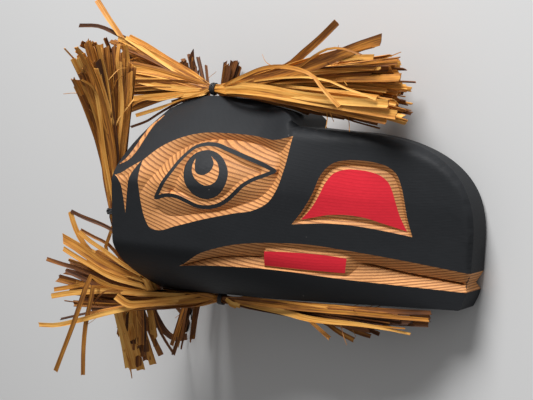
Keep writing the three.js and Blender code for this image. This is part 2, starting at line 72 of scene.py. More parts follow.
view = {
    "side": 33, "above": 5, "roll": 3,      # degrees, seen from the mask's right
    "place": (501.8, -638.5, 60.5),         # mm in mask directions
    "focal": 1080, "width": 533, "height": 400,   # pixels
    "target": (110, -20, 5),                # where the lamp points, mask mm
    "lampTowards": (-0.26, 0.86, 0.45),     # to the picture's right, its top and the camera
    "lampAway": 2.0, "lampSize": 1.1, "lampWatts": 68,   # metres and watts
    "sky": 0.28, "paper": 0.60,
}
side, above, roll = (math.radians(view[k]) for k in ("side", "above", "roll"))
back = np.array([math.sin(side) * math.cos(above), -math.cos(side) * math.cos(above),
                 math.sin(above)])
level = np.cross(-back, [0, 0, 1])
level /= np.linalg.norm(level)
upright = np.cross(level, -back)
right = level * math.cos(roll) + upright * math.sin(roll)
up = upright * math.cos(roll) - level * math.sin(roll)


def seenAt(u, v, axis, value):
    # the mask point seen at a pixel of the picture, on the plane where that axis has that value
    ray = (-back + right * (u - view["width"] / 2) / view["focal"]
           - up * (v - view["height"] / 2) / view["focal"])
    start = np.array(view["place"])
    return start + ray * (value - start[axis]) / ray[axis]


def studio():
    camera = bpy.data.cameras.new("camera")
    camera.sensor_width = 36
    camera.lens = view["focal"] / view["width"] * camera.sensor_width
    camera.clip_start, camera.clip_end = 0.02, 20
    holder = bpy.data.objects.new("camera", camera)
    bpy.context.scene.collection.objects.link(holder)
    axes = Matrix([Vector(turned(a)[0]) for a in (right, up, back)]).transposed().to_4x4()
    holder.matrix_world = Matrix.Translation(Vector(lay(view["place"])[0])) @ axes
    bpy.context.scene.camera = holder

    across, high, near = view["lampTowards"]
    way = Vector(turned(right * across + up * high + back * near)[0]).normalized()
    lamp = bpy.data.lights.new("keyLight", "AREA")
    lamp.shape, lamp.size, lamp.energy = "DISK", view["lampSize"], view["lampWatts"]
    lampObject = bpy.data.objects.new("keyLight", lamp)
    lampObject.location = Vector(lay(view["target"])[0]) + way * view["lampAway"]
    lampObject.rotation_euler = way.to_track_quat("Z", "Y").to_euler()
    bpy.context.scene.collection.objects.link(lampObject)

    world = bpy.data.worlds.new("studio")
    bpy.context.scene.world = world
    bpy.context.scene.view_settings.view_transform = "Standard"
    world.use_nodes = True
    sky = world.node_tree.nodes["Background"]
    sky.inputs["Color"].default_value = (1, 1, 1, 1)
    sky.inputs["Strength"].default_value = view["sky"]

    bpy.ops.object.select_all(action="DESELECT")
    bpy.ops.mesh.primitive_plane_add(size=8, location=(0, 0, 0))
    floor = bpy.context.object
    floor.name = "floor"
    paper = bpy.data.materials.new("palePaper")
    paper.use_nodes = True
    shader = paper.node_tree.nodes["Principled BSDF"]
    shader.inputs["Base Color"].default_value = (*[view["paper"]] * 3, 1)
    shader.inputs["Roughness"].default_value = 0.9
    shader.inputs["Specular IOR Level"].default_value = 0.1
    floor.data.materials.append(paper)


studio()
print("studio ready")


# Node helpers

def material(name):
    made = bpy.data.materials.new(name)
    made.use_nodes = True
    return made, made.node_tree.nodes["Principled BSDF"]


def addNode(made, kind, **values):
    node = made.node_tree.nodes.new(kind)
    for key, value in values.items():
        if key in node.inputs:
            node.inputs[key].default_value = value
        else:
            setattr(node, key, value)
    return node


def join(made, *pairs):
    for a, b in pairs:
        made.node_tree.links.new(a, b)


def ramp(made, value, stops):
    # colours over a value from 0 to 1
    node = made.node_tree.nodes.new("ShaderNodeValToRGB")
    while len(node.color_ramp.elements) < len(stops):
        node.color_ramp.elements.new(1)
    for element, (place, color) in zip(node.color_ramp.elements, stops):
        element.position = place
        element.color = (*color, 1)
    join(made, (value, node.inputs[0]))
    return node.outputs[0]


def feed(made, sockets, values):
    # numbers and colours are set, outputs are linked
    for socket, value in zip(sockets, values):
        if isinstance(value, (int, float)):
            socket.default_value = value
        elif isinstance(value, tuple):
            socket.default_value = (*value, 1)
        else:
            made.node_tree.links.new(value, socket)


def maths(made, operation, *values, clamp=False):
    node = addNode(made, "ShaderNodeMath", operation=operation, use_clamp=clamp)
    feed(made, node.inputs, values)
    return node.outputs[0]


def times(made, a, b, clamp=False):
    return maths(made, "MULTIPLY", a, b, clamp=clamp)


def plus(made, *values):
    total = values[0]
    for value in values[1:]:
        total = maths(made, "ADD", total, value)
    return total


def mixed(made, share, a, b, blend="MIX"):
    node = addNode(made, "ShaderNodeMix", data_type="RGBA", blend_type=blend)
    feed(made, (node.inputs[0], node.inputs[6], node.inputs[7]), (share, a, b))
    return node.outputs[2]


def bumped(made, shader, height, distance, strength, normal=None):
    node = addNode(made, "ShaderNodeBump", Strength=strength, Distance=distance)
    join(made, (height, node.inputs["Height"]))
    if normal is not None:
        join(made, (normal, node.inputs["Normal"]))
    join(made, (node.outputs[0], shader.inputs["Normal"]))
    return node.outputs[0]


# Wood: growth rings run through the whole block, so every carved slope shows them its own way

wood = {
    "ringMiddle": (85, -39, 3),             # mask mm
    "rings": (0.118, -0.060, 0.418),        # rings crossed for each mm of x, y and z there
    # how that changes: x by x, z by z, x by z, y by z
    "ringBend": (-0.00068, -0.00027, 0.00120, -0.00144),
    "wander": 2.0, "ripple": 0.45,          # rings that the lines stray, over a long and a short way
    "ringCount": 400,                       # added so that no count is below zero
    "paleWood": (0.66, 0.305, 0.105),
    "ringWood": (0.15, 0.038, 0.009),
    # how pale, and how strong the ring lines are
    "bareCedar": (1.0, 0.85),
    # the hollow's copy: 0.86 as pale, painted shade for the inside that the lamp hardly reaches, with weaker
    # ring lines for its adzed surface
    "hollowCedarPaintedShade": (0.86, 0.6),
    # color, roughness, how much the ring lines show, and how few specks have come off
    "blackPaint": ((0.0185, 0.0198, 0.0220), 0.56, 0.10, 0.79),
    "redPaint": ((0.63, 0.022, 0.038), 0.50, 0.30, 0.86),
}


def maskPlace(made):
    # Object coordinates in millimetres, as (mask x, mask z, minus mask y)
    place = addNode(made, "ShaderNodeTexCoord")
    turn = addNode(made, "ShaderNodeMapping", vector_type="POINT")
    turn.inputs["Scale"].default_value = (1000, 1000, 1000)
    turn.inputs["Rotation"].default_value = (0, -lean, 0)
    x = shift[0] * leanCos - shift[2] * leanSin
    minusY = shift[0] * leanSin + shift[2] * leanCos
    turn.inputs["Location"].default_value = (-x, -shift[1], -minusY)
    join(made, (place.outputs["Object"], turn.inputs["Vector"]))
    return turn.outputs[0]


def noise(made, place, patches, detail=2.0, rough=0.5):
    # soft noise with that many patches for each unit of the place's three directions
    scale = addNode(made, "ShaderNodeMapping", vector_type="POINT", Scale=patches)
    node = addNode(made, "ShaderNodeTexNoise", Scale=1.0, Detail=detail, Roughness=rough)
    join(made, (place, scale.inputs["Vector"]), (scale.outputs[0], node.inputs["Vector"]))
    return node.outputs["Fac"]


def ringPhase(made, place):
    # how far along its growth ring a point is, from 0 to 1
    parts = addNode(made, "ShaderNodeSeparateXYZ")
    join(made, (place, parts.inputs[0]))
    middleX, middleY, middleZ = wood["ringMiddle"]
    x = maths(made, "SUBTRACT", parts.outputs[0], middleX)
    z = maths(made, "SUBTRACT", parts.outputs[1], middleZ)
    minusY = plus(made, parts.outputs[2], middleY)
    byX, byY, byZ = wood["rings"]
    xByX, zByZ, xByZ, yByZ = wood["ringBend"]
    alongX = plus(made, times(made, x, xByX), times(made, z, xByZ), byX)
    alongZ = plus(made, times(made, z, zByZ), times(made, minusY, -yByZ), byZ)
    wander = times(made, noise(made, place, (0.010, 0.030, 0.030)), wood["wander"])
    ripple = times(made, noise(made, place, (0.03, 0.22, 0.22)), wood["ripple"])
    rings = plus(made, times(made, x, alongX), times(made, z, alongZ), times(made, minusY, -byY),
                 wander, ripple, wood["ringCount"])
    return maths(made, "FRACT", rings)


def shaded(color, factor, most=1):
    return tuple(min(c * factor, most) for c in color)


def cedar(name):
    pale, lines = wood[name]
    made, shader = material(name)
    place = maskPlace(made)
    dark = ramp(made, ringPhase(made, place),
                [(0.0, (0, 0, 0)), (0.50, (0.06, 0.06, 0.06)), (0.74, (0.80, 0.80, 0.80)), (0.90, (1, 1, 1)),
                 (1.0, (0, 0, 0))])
    fibre = noise(made, place, (0.12, 3.2, 3.2), 3.0, 0.6)
    patch = noise(made, place, (0.03, 0.05, 0.05))
    base = ramp(made, patch, [(0.3, shaded(wood["paleWood"], 0.80 * pale)),
                              (0.7, shaded(wood["paleWood"], 1.12 * pale, 0.95))])
    ringShare = times(made, dark, plus(made, times(made, patch, 0.5), lines - 0.25), clamp=True)
    color = mixed(made, ringShare, base, wood["ringWood"])
    streak = ramp(made, fibre, [(0.30, (0.62, 0.56, 0.50)), (0.62, (1.06, 1.06, 1.06))])
    color = mixed(made, 0.75, color, streak, "MULTIPLY")
    join(made, (color, shader.inputs["Base Color"]))
    shader.inputs["Roughness"].default_value = 0.62
    shader.inputs["Specular IOR Level"].default_value = 0.3
    low = bumped(made, shader, dark, 0.00022, 0.8)
    bumped(made, shader, fibre, 0.00012, 0.5, low)
    return made


def paint(name):
    color, rough, lines, worn = wood[name]
    made, shader = material(name)
    place = maskPlace(made)
    line = ramp(made, ringPhase(made, place), [(0.0, (0, 0, 0)), (0.55, (0.15, 0.15, 0.15)),
                                               (0.85, (1, 1, 1)), (1.0, (0, 0, 0))])
    fibre = noise(made, place, (0.05, 1.6, 1.6), 4.0, 0.6)
    cloud = noise(made, place, (0.02, 0.04, 0.04), 3.0)
    tone = ramp(made, plus(made, times(made, fibre, 0.5), times(made, cloud, 0.5)),
                [(0.3, shaded(color, 0.86)), (0.7, shaded(color, 1.16))])
    shade = mixed(made, times(made, line, lines), tone, shaded(color, 0.55))
    speck = noise(made, place, (0.32, 0.40, 0.40), 2.0, 0.4)
    chip = ramp(made, speck, [(worn, (0, 0, 0)), (worn + 0.012, (1, 1, 1))])
    shade = mixed(made, times(made, chip, 0.35), shade, (0.36, 0.33, 0.30))
    gloss = ramp(made, fibre, [(0.3, (rough - 0.07,) * 3), (0.7, (rough + 0.08,) * 3)])
    join(made, (shade, shader.inputs["Base Color"]), (gloss, shader.inputs["Roughness"]))
    shader.inputs["Specular IOR Level"].default_value = 0.12
    low = bumped(made, shader, line, 0.00004, 0.4)
    bumped(made, shader, fibre, 0.00006, 0.4, low)
    return made


# The head's form: top and underside over the length, and a half width for every point of the side view

def cubic(t, start, end, leaving, arriving):
    # from start to end with those directions, at a share t of the way
    s = 1 - t
    return (start * s * s * (1 + 2 * t) + end * t * t * (1 + 2 * s)
            + leaving * t * s * s - arriving * t * t * s)


def rail(knots):
    # a smooth line through knots of place and value that never overshoots them
    places = np.array([k[0] for k in knots], float)
    values = np.array([k[1] for k in knots], float)
    rise = np.diff(values) / np.diff(places)
    slopes = np.empty(len(places))
    slopes[0], slopes[-1] = rise[0], rise[-1]
    for i in range(1, len(rise)):
        a, b = rise[i - 1], rise[i]
        slopes[i] = 2 * a * b / (a + b) if a * b > 0 else 0

    def at(place):
        place = np.asarray(place, float)
        i = np.clip(np.searchsorted(places, place, side="right") - 1, 0, len(rise) - 1)
        span = places[i + 1] - places[i]
        t = np.clip((place - places[i]) / span, 0, 1)
        return cubic(t, values[i], values[i + 1], slopes[i] * span, slopes[i + 1] * span)
    return at


head = {
    "length": 248, "step": 121.8, "beakRoot": 47.2,
    "culmen": (150, -20), "culmenReach": 98, "culmenRise": 66.2, "culmenFullness": 2.56,
    "chin": -80, "chinBend": 15, "jawTip": (242, -61), "mouth": -38,
    "widestTop": 3, "widestBottom": -38,    # the heights between which the side is nearly upright
    "lowShare": 0.95, "crownBand": 22, "crownFullness": 1.5, "chinFullness": 1.7,
    "roundedFrom": (119.5, 2.3),            # where the beak's edges start to be rounded, and over how far
    "roundBehind": 8, "roundAhead": 3, "roundTurn": (205, 243),   # radius, and where it changes
    "wall": 12, "cavityDepth": 104,
    "fine": 0.85, "coarse": 2.3,            # mm between the mesh's points, carved and plain
}
cheekHalf = rail([(0, 66), (35, 61), (70, 52), (100, 42.5), (121, 35.5), (160, 25.5),
                  (200, 18.5), (235, 14.5), (248, 13.4)])
crownHalf = rail([(0, 4), (60, 4), (75, 5), (93, 10), (104, 16), (114, 22), (121, 24),
                  (160, 20), (185, 16), (215, 13.5), (248, 13)])
chinHalf = rail([(0, 4), (53, 8), (121, 16), (200, 13), (248, 12)])
foreheadLine = rail([(0, 54.5), (18, 61.5), (40, 65.6), (70, 64), (100, 59.3), (110, 57.2),
                     (114, 56), (118, 53.2), (120.5, 49.6), (121.8, 47.2)])


def topLine(x):
    x = np.asarray(x, float)
    middleX, middleZ = head["culmen"]
    crest = middleZ + head["culmenRise"]
    slope = np.interp(x, [head["step"], middleX], [head["beakRoot"], crest])
    full = head["culmenFullness"]
    along = np.clip((x - middleX) / head["culmenReach"], 0, 1)
    arc = middleZ + head["culmenRise"] * (1 - along ** full) ** (1 / full)
    return np.where(x <= head["step"], foreheadLine(x), np.where(x <= middleX, slope, arc))


def bottomLine(x):
    x = np.asarray(x, float)
    tipX, tipZ = head["jawTip"]
    slope = np.interp(x, [head["chinBend"], tipX], [head["chin"], tipZ])
    share = np.clip((head["length"] - x) / (head["length"] - tipX), 0, 1)
    return np.where(x <= tipX, slope, head["mouth"] + (tipZ - head["mouth"]) * np.sqrt(share))


def halfWidth(x, z):
    x, z = np.broadcast_arrays(np.asarray(x, float), np.asarray(z, float))
    top, bottom, cheek = topLine(x), bottomLine(x), cheekHalf(x)
    low = cheek * head["lowShare"]
    upper = np.minimum(head["widestTop"], top - head["crownBand"])
    lower = head["widestBottom"]
    share = np.clip((z - lower) / (head["widestTop"] - lower), 0, 1)
    width = low + (cheek - low) * share
    rise = np.clip((z - upper) / (top - upper), 0, 1.2)
    width = np.where(z > upper, cheek + (crownHalf(x) - cheek) * rise ** head["crownFullness"], width)
    drop = np.clip((lower - z) / (lower - np.minimum(bottom, lower - 4)), 0, 1.2)
    width = np.where(z < lower, low + (chinHalf(x) - low) * drop ** head["chinFullness"], width)
    # the beak's top and front are rounded
    middleX, middleZ = head["culmen"]
    across, rise = (x - middleX) / head["culmenReach"], (z - middleZ) / head["culmenRise"]
    full = head["culmenFullness"]
    reach = (np.maximum(across, 0) ** full + np.maximum(rise, 0) ** full) ** (1 / full)
    edge = np.hypot(x - middleX, z - middleZ) * (1 / np.maximum(reach, 0.05) - 1)
    edge = np.where(across < 0, top - z, np.where(rise < 0, head["length"] - x, edge))
    turnStart, turnEnd = head["roundTurn"]
    turn = np.clip((x - turnStart) / (turnEnd - turnStart), 0, 1)
    bend = head["roundBehind"] - (head["roundBehind"] - head["roundAhead"]) * turn
    edge = np.clip(edge, 0, bend)
    rounded = width - bend + np.sqrt(bend * bend - (bend - edge) ** 2)
    start, run = head["roundedFrom"]
    return width + (rounded - width) * np.clip((x - start) / run, 0, 1)


# Carved and painted lines of the face, as x, z and depth below the uncarved surface

def smoothLine(points, step, closed=False, corners=(), depth=0):
    # one depth for all of the line, or a depth in each point
    p = np.array([(*q, depth)[:3] for q in points], float)
    count = len(p)
    spans = range(count if closed else count - 1)

    def tangent(i):
        if i in corners or (not closed and i in (0, count - 1)):
            return None
        a, b, c = p[(i - 1) % count], p[i], p[(i + 1) % count]
        before, after = np.linalg.norm(b - a), np.linalg.norm(c - b)
        return ((b - a) / before * after + (c - b) / after * before) / (before + after)

    line = []
    for i in spans:
        a, b = p[i], p[(i + 1) % count]
        length = np.linalg.norm(b[:2] - a[:2])
        way = (b - a) / length
        m0, m1 = tangent(i), tangent((i + 1) % count)
        m0 = way if m0 is None else m0
        m1 = way if m1 is None else m1
        steps = max(1, round(length / step))
        for k in range(steps):
            t = k / steps
            q = cubic(t, a, b, m0 * length, m1 * length)
            q[2] = a[2] * (1 - t) + b[2] * t
            line.append(q)
    if not closed:
        line.append(p[-1])
    return np.array(line)


def beside(loop, distance, depth):
    # a closed line moved inwards (outwards if negative), without the stretches that would cross
    following, before = np.roll(loop, -1, 0), np.roll(loop, 1, 0)
    way = following[:, :2] - before[:, :2]
    way /= np.linalg.norm(way, axis=1)[:, None]
    area = np.sum(loop[:, 0] * following[:, 1] - following[:, 0] * loop[:, 1])
    normal = np.column_stack([-way[:, 1], way[:, 0]]) * (1 if area > 0 else -1)
    moved = loop[:, :2] + normal * distance
    gaps = np.linalg.norm(moved[:, None] - loop[None, :, :2], axis=2).min(1)
    kept = moved[gaps > abs(distance) - 0.12]
    return np.column_stack([kept, np.full(len(kept), depth)])


def inside(loop, points):
    # which points lie in a closed line
    x, z = points[:, 0], points[:, 1]
    found = np.zeros(len(points), bool)
    a, b = loop, np.roll(loop, -1, 0)
    for (ax, az), (bx, bz) in zip(a[:, :2], b[:, :2]):
        if az == bz:
            continue
        crossing = (az > z) != (bz > z)
        found ^= crossing & (x < (bx - ax) * (z - az) / (bz - az) + ax)
    return found


fine, lidFine = head["fine"], head["fine"] * 0.8
socket = smoothLine([(122.5, 41), (112, 38), (92, 39.5), (70, 40), (52, 39), (38, 34.5), (27, 27.5),
                     (19, 18), (20.5, 9), (22, 0), (24, -12), (27, -22), (31, -28), (37, -29), (50, -25),
                     (70, -18.5), (90, -13), (104, -9.5), (113, -3.5), (118, 5), (121, 18)],
                    fine, True, corners=(0, 7))
browCrease = smoothLine([(22.9, -5, 0.2), (26, 3.4, 4.0), (31, 12, 5.8), (34.3, 19.1, 6.4),
                         (40.9, 26.7, 6.6), (55.5, 33.9, 6.0), (68, 35.4, 5.6), (80.5, 35.2, 5.8),
                         (98.4, 32.9, 6.4), (113.5, 28.6, 5.8), (122, 40, 0.3)], fine, corners=(9,))
lowCrease = smoothLine([(113.5, 28.6, 4.6), (115.6, 20, 4.6), (114.8, 13, 4.6), (111.7, 6, 4.8),
                        (104.6, -1.6, 5), (91.9, -7.6, 5), (78, -12.6, 4.4), (69, -14.4, 4.2),
                        (60, -16.2, 4.8), (47.6, -18.6, 4.6), (40, -18.3, 4.2), (34.7, -14.5, 3.8)], fine)
lid = smoothLine([(33.6, -6.9), (36.6, -0.9), (42.6, 11.5), (47.2, 22), (52.4, 29.2), (58.8, 31.6),
                  (66.5, 31.6), (75.6, 29.3), (90.4, 25), (104.8, 20.8), (114, 17.2), (107.5, 14),
                  (101, 11), (94.8, 6.8), (89.6, 1), (84, -4.6), (77.6, -8.6), (71.5, -10.2), (63.8, -10),
                  (56.6, -7.3), (48.9, -4.6), (42, -4.2)], lidFine, True, corners=(0, 10))
lidOuter = beside(lid, -1.45, 2.5)
lidInner = beside(lid, 1.25, 2.5)
lidFoot = smoothLine([(42.6, -1.9, 5.4), (45.9, 0.6, 5.4), (47.2, 6.4, 5.4), (49, 13.4, 5.2), (51, 20.4, 4.8),
                      (53, 25.3, 4.0), (57, 28.4, 3.3), (63, 28.8, 3.2), (69.3, 27.6, 3.6), (77.2, 24.8, 4.6),
                      (88.4, 20, 5.2), (103.4, 15.6, 5.2), (97.4, 13.6, 4.8), (92.6, 10.6, 4.6),
                      (88, 5.6, 4.6), (82.6, -0.6, 4.4), (76.4, -5, 3.6), (70.5, -6.6, 3.2),
                      (63.7, -6.4, 3.2), (57.4, -4.6, 3.8), (51, -1.9, 4.8)], lidFine, True,
                     corners=(0, 11))
iris = smoothLine([(82.2, 12.9), (77.6, 20.4), (69.8, 25.8), (61.2, 27.1), (55, 24.4), (52.2, 19.1),
                   (53, 10.7), (56.9, 2.9), (62.6, -2.6), (70, -4.3), (77, -1.7), (81.8, 4.8)],
                  lidFine, True)
irisMiddle, irisSize = (67.5, 11.3), 1.04
iris[:, :2] = irisMiddle + (iris[:, :2] - irisMiddle) * irisSize
iris[:, 2] = 2.5
crescent = smoothLine([(56.6, 22), (56.4, 17.6), (58.2, 12.2), (63.9, 6.5), (70.3, 4.3), (75.8, 7.6),
                       (76.6, 12.4), (73.4, 19.4), (67, 24), (70.9, 18.7), (70.4, 14.2), (66, 11.1),
                       (61.2, 12.2), (58.1, 17.4)], lidFine, True, corners=(0, 8))
pupilMiddle, pupilRadius, pupilDepth = (64.5, 17.5), 3, 1.8
pupil = np.array([(pupilMiddle[0] + pupilRadius * math.cos(a), pupilMiddle[1] + pupilRadius * math.sin(a),
                   pupilDepth) for a in np.linspace(0, 2 * math.pi, 13)[:-1]])

nostril = smoothLine([(129, -17), (135.6, -7.6), (142.3, 5.4), (145.8, 16.2), (149.3, 21.7), (153.5, 25.2),
                      (161.3, 27.6), (170.8, 28.2), (182, 27.4), (189.8, 25.5), (195.9, 21.4), (200.1, 13.9),
                      (203.1, 4.3), (205.4, -5.4), (209.6, -17.8), (196, -16.3), (181, -14.9), (164.8, -14.1),
                      (148, -14.8)], fine, True, corners=(0, 14))
nostrilGroove = smoothLine([(131.6, -15.5, 1.2), (135.4, -9.6, 2.6), (140, -1, 3), (144.4, 8.8, 3),
                            (147.8, 16.4, 3), (151.6, 21, 3), (156.8, 23.4, 3), (163.7, 24.3, 3),
                            (171.8, 24.4, 3), (181, 23.8, 3), (188.3, 22.2, 3), (192.9, 19.2, 3),
                            (196.5, 13.6, 3), (199.1, 7, 3), (201.2, -1, 3), (203.3, -8, 2.8),
                            (206.6, -15.8, 1.2), (197, -14.3, 2.4), (186.4, -13, 2.8), (174.8, -12, 2.8),
                            (163.2, -11.4, 2.8), (151, -11.9, 2.8), (140, -13.4, 2.4)],
                           fine, True, corners=(0, 16))
nostrilRed = smoothLine([(134.3, -13.6), (140.6, -5.8), (145.6, 3.2), (149.6, 12.7), (154, 18.5),
                         (161.2, 21.5), (170.1, 22), (178, 21.3), (185, 19.4), (190.6, 15.6), (194, 10),
                         (196.8, 3), (199.6, -4.4), (205.3, -14.8), (197, -12.9), (188, -11), (179, -9),
                         (170, -8), (161, -8), (152, -9), (142.6, -11.4)],
                        fine, True, corners=(0, 13), depth=1.3)

mouth = {
    "upper": rail([(46, -54), (49, -53), (70, -41), (94, -33.5), (112, -31), (139, -29.6), (167, -31),
                   (208, -33.8), (252, -37.4)]),
    "lower": rail([(46, -54.4), (49, -53.6), (80, -50.3), (112, -49.1), (167, -50.4), (252, -49)]),
    "deep": rail([(46, -54.2), (52.5, -52), (78, -44.3), (108, -41.4), (172, -39.4), (206, -42.4),
                  (252, -44.8)]),
    "depth": rail([(46, 0.4), (60, 3.5), (90, 6.6), (170, 6.6), (210, 5), (252, 3)]),
    "start": 46.6, "tongueBack": 110.2, "tongueFront": 171.6,
    # the knife cut at the bottom, behind and ahead of the tongue: mm wide and deep
    "cutBehind": (1.1, 2.2), "cutAhead": (1.9, 4.2), "cutRunIn": 5,
    # at the beak's front: bare from here, drawn back from here over so much, and how deep, all in mm
    "bareFrom": 236, "backFrom": 241, "backOver": 5, "frontDepth": 3,
}


def frontLine(z):
    # where the beak ends at a height
    tipX, tipZ = head["jawTip"]
    share = max(0, (z - head["mouth"]) / (tipZ - head["mouth"]))
    return head["length"] - (head["length"] - tipX) * share ** 2


def mouthEnd(name):
    # where a line of the mouth meets the beak's front
    x = head["length"]
    for _ in range(20):
        x = frontLine(float(mouth[name](x)))
    return x, float(mouth[name](x))


def mouthLine(name, start, end=None, deep=False):
    end = mouthEnd(name)[0] if end is None else end
    x = np.linspace(start, end, max(2, round((end - start) / fine) + 1))
    z = mouth[name](x)
    return np.column_stack([x, z, mouth["depth"](x) if deep else np.zeros(len(x))])


mouthCorner = (mouth["start"], -54.2, 0)
upperLip = np.vstack([[mouthCorner], mouthLine("upper", mouth["start"] + 1.2)])
lowerLip = np.vstack([[mouthCorner], mouthLine("lower", mouth["start"] + 1.6)])


def knifeCut(line, size):
    # the line with the cut's depth added, and the cut's two edges
    width, depth = size
    along = line[:, 0]
    kept = line[(along > along[0] + 2) & (along < along[-1] - 2.5)]
    share = np.clip(np.minimum(along - along[0], along[-1] - along) / mouth["cutRunIn"], 0, 1)
    return line + np.outer(share, [0, 0, depth]), [kept + [0, side * width / 2, 0] for side in (1, -1)]


deepBehind, edgesBehind = knifeCut(mouthLine("deep", mouth["start"] + 2.4, mouth["tongueBack"] - 1.1, True),
                                   mouth["cutBehind"])
deepAhead, edgesAhead = knifeCut(mouthLine("deep", mouth["tongueFront"] + 0.4, None, True), mouth["cutAhead"])
tongueFace = smoothLine([(110.6, -36.9), (126, -36.1), (142, -35.7), (155, -35.8), (166, -36.5), (165, -46.4),
                         (142, -46.9), (125.6, -46.9), (110.2, -46.8)], fine, True, corners=(0, 4, 5, 8),
                        depth=1.4)
tongueSkirt = smoothLine([(109.6, -33.6, 2.6), (127.7, -33.0, 2.6), (144.5, -32.9, 2.6), (157.4, -33.1, 2.6),
                          (168, -34.0, 2.8), (172, -39.4, 6.4), (171.6, -42.4, 5.8), (166.6, -48.1, 2.4),
                          (154.1, -48.5, 2.2), (141, -48.4, 2.2), (124.6, -48.1, 2.2), (109.2, -47.9, 2.0),
                          (109.0, -41.3, 6.6)], fine, True, corners=(0, 4, 5, 6, 7, 11, 12))

stripe = [(4, 49.5, 0.6), (2.6, 43, 1.9), (5.5, 33, 2.2), (7, 25, 2.2), (5.5, 18, 1.8), (1.4, 14.2, 0.5)]
stripeMiddle = smoothLine([(x, z, 0.75 * half) for x, z, half in stripe], fine)
stripeEdge = smoothLine([(x - half, z) for x, z, half in stripe]
                        + [(x + half, z) for x, z, half in reversed(stripe)], fine, True,
                        corners=(0, 5, 6, 11))
spike = smoothLine([(1.5, 6.8), (5.5, 8.2), (10.5, 12), (18, 17.6), (14.6, 9), (12.9, -2), (11.1, -19),
                    (9, -6), (7.2, 1.2), (4.6, 4.8)], fine, True, corners=(0, 3, 6))
spikeArm = smoothLine([(3.4, 6.4, 0.5), (10.8, 7.4, 1.5), (16.2, 14.6, 0.5)], fine)
spikeLeg = smoothLine([(10.8, 7.4, 1.5), (11.2, -2, 1.2), (11.1, -14, 0.6)], fine)


def sideOutline():
    # round the side view from the crown end of the rim, over the beak and back along the jaw, with
    # points about 1.4 mm apart, closer at the step of the brow and where the mouth ends
    step = head["step"]
    middleX, middleZ = head["culmen"]
    x = np.concatenate([np.arange(0, 108, 1.4), np.arange(108, 118, 0.8), np.linspace(118, step, 9),
                        np.arange(step + 1.3, middleX, 1.4)])
    line = [(a, float(topLine(a))) for a in x]
    full = 2 / head["culmenFullness"]
    arc = np.array([(middleX + head["culmenReach"] * math.sin(a) ** full,
                     middleZ + head["culmenRise"] * math.cos(a) ** full)
                    for a in np.radians(np.linspace(0, 90, 1500))])
    run = np.concatenate([[0], np.cumsum(np.linalg.norm(np.diff(arc, axis=0), axis=1))])
    at = np.linspace(0, run[-1], round(run[-1] / 1.35))
    line += list(zip(np.interp(at, run, arc[:, 0]), np.interp(at, run, arc[:, 1])))
    ends = [mouthEnd(name)[1] for name in ("upper", "deep", "lower")]
    z = [*np.arange(-21.2, -36, -1.1), ends[0], -38, -39.3, -40.8, -42.4, -43.6, ends[1], -45.8, -47.2,
         -48.2, ends[2], *np.arange(ends[2] - 0.95, head["jawTip"][1], -0.95)]
    line += [(frontLine(a), a) for a in z]
    line += [(a, float(bottomLine(a))) for a in np.linspace(head["jawTip"][0], head["chinBend"], 175)]
    line += [(a, head["chin"]) for a in np.linspace(head["chinBend"], 0, 12)[1:]]
    edge = len(line)
    line += [(0, a) for a in np.linspace(head["chin"], float(topLine(0)), 90)[1:-1]]
    return np.array(line), edge


fill = {
    "fine": (head["fine"] * 1.12, 0.55), "coarse": (head["coarse"], 0.42),   # mm apart, share kept clear
    "astray": 0.16,                         # how far points stray from their grid, as a share of its step
}


def anyInside(loops, points):
    on = np.zeros(len(points), bool)
    for loop in loops:
        on |= inside(loop, points)
    return on


def fillPoints(outline, lines, carved):
    # loose points between the lines, closer together where the face is carved
    rng = np.random.default_rng(7)
    placed = []
    taken = np.vstack([line[:, :2] for line in lines])
    for (step, share), within in ((fill["fine"], True), (fill["coarse"], False)):
        x, z = np.meshgrid(np.arange(0.6, head["length"], step), np.arange(head["chin"], 68, step * 0.87))
        x = x + (np.arange(x.shape[0]) % 2 * step / 2)[:, None]
        astray = rng.uniform(-fill["astray"], fill["astray"], (x.size, 2)) * step
        grid = np.column_stack([x.ravel(), z.ravel()]) + astray
        grid = grid[inside(outline, grid)]
        grid = grid[anyInside(carved, grid) == within]
        clear = step * share
        near = np.concatenate([((part[:, None] - taken[None]) ** 2).sum(2).min(1)
                               for part in np.array_split(grid, max(1, len(grid) // 400))])
        placed.append(grid[near > clear * clear])
    return placed


def settled(points, triangles, depth, fixed):
    # depths between the lines, as a skin stretched over them
    a, b, c = (points[triangles[:, i]] for i in range(3))
    doubled = (b[:, 0] - a[:, 0]) * (c[:, 1] - a[:, 1]) - (b[:, 1] - a[:, 1]) * (c[:, 0] - a[:, 0])
    doubled = np.maximum(np.abs(doubled), 1e-6)
    ends, weights = [], []
    for i in range(3):
        o, p, q = triangles[:, i], triangles[:, (i + 1) % 3], triangles[:, (i + 2) % 3]
        weight = ((points[p] - points[o]) * (points[q] - points[o])).sum(1) / doubled
        ends.append(np.column_stack([p, q]))
        weights.append(np.clip(weight, 0.02, 20))
    ends, weights = np.vstack(ends), np.concatenate(weights)
    count = len(points)
    degree = np.bincount(ends.ravel(), np.repeat(weights, 2), count)

    def pull(values):
        left, far = values[ends[:, 0]], values[ends[:, 1]]
        total = np.bincount(ends[:, 0], weights * far, count) + np.bincount(ends[:, 1], weights * left, count)
        return degree * values - total

    solved = np.where(fixed, depth, 0.0)
    free = ~fixed
    rest = -pull(solved) * free
    way = rest / degree
    way *= free
    energy = (rest * way).sum()
    for _ in range(700):
        change = pull(way) * free
        share = energy / max((way * change).sum(), 1e-20)
        solved = solved + share * way
        rest = rest - share * change
        scaledRest = rest / degree * free
        following = (rest * scaledRest).sum()
        if following < 1e-10:
            break
        way = scaledRest + way * following / energy
        energy = following
    return solved


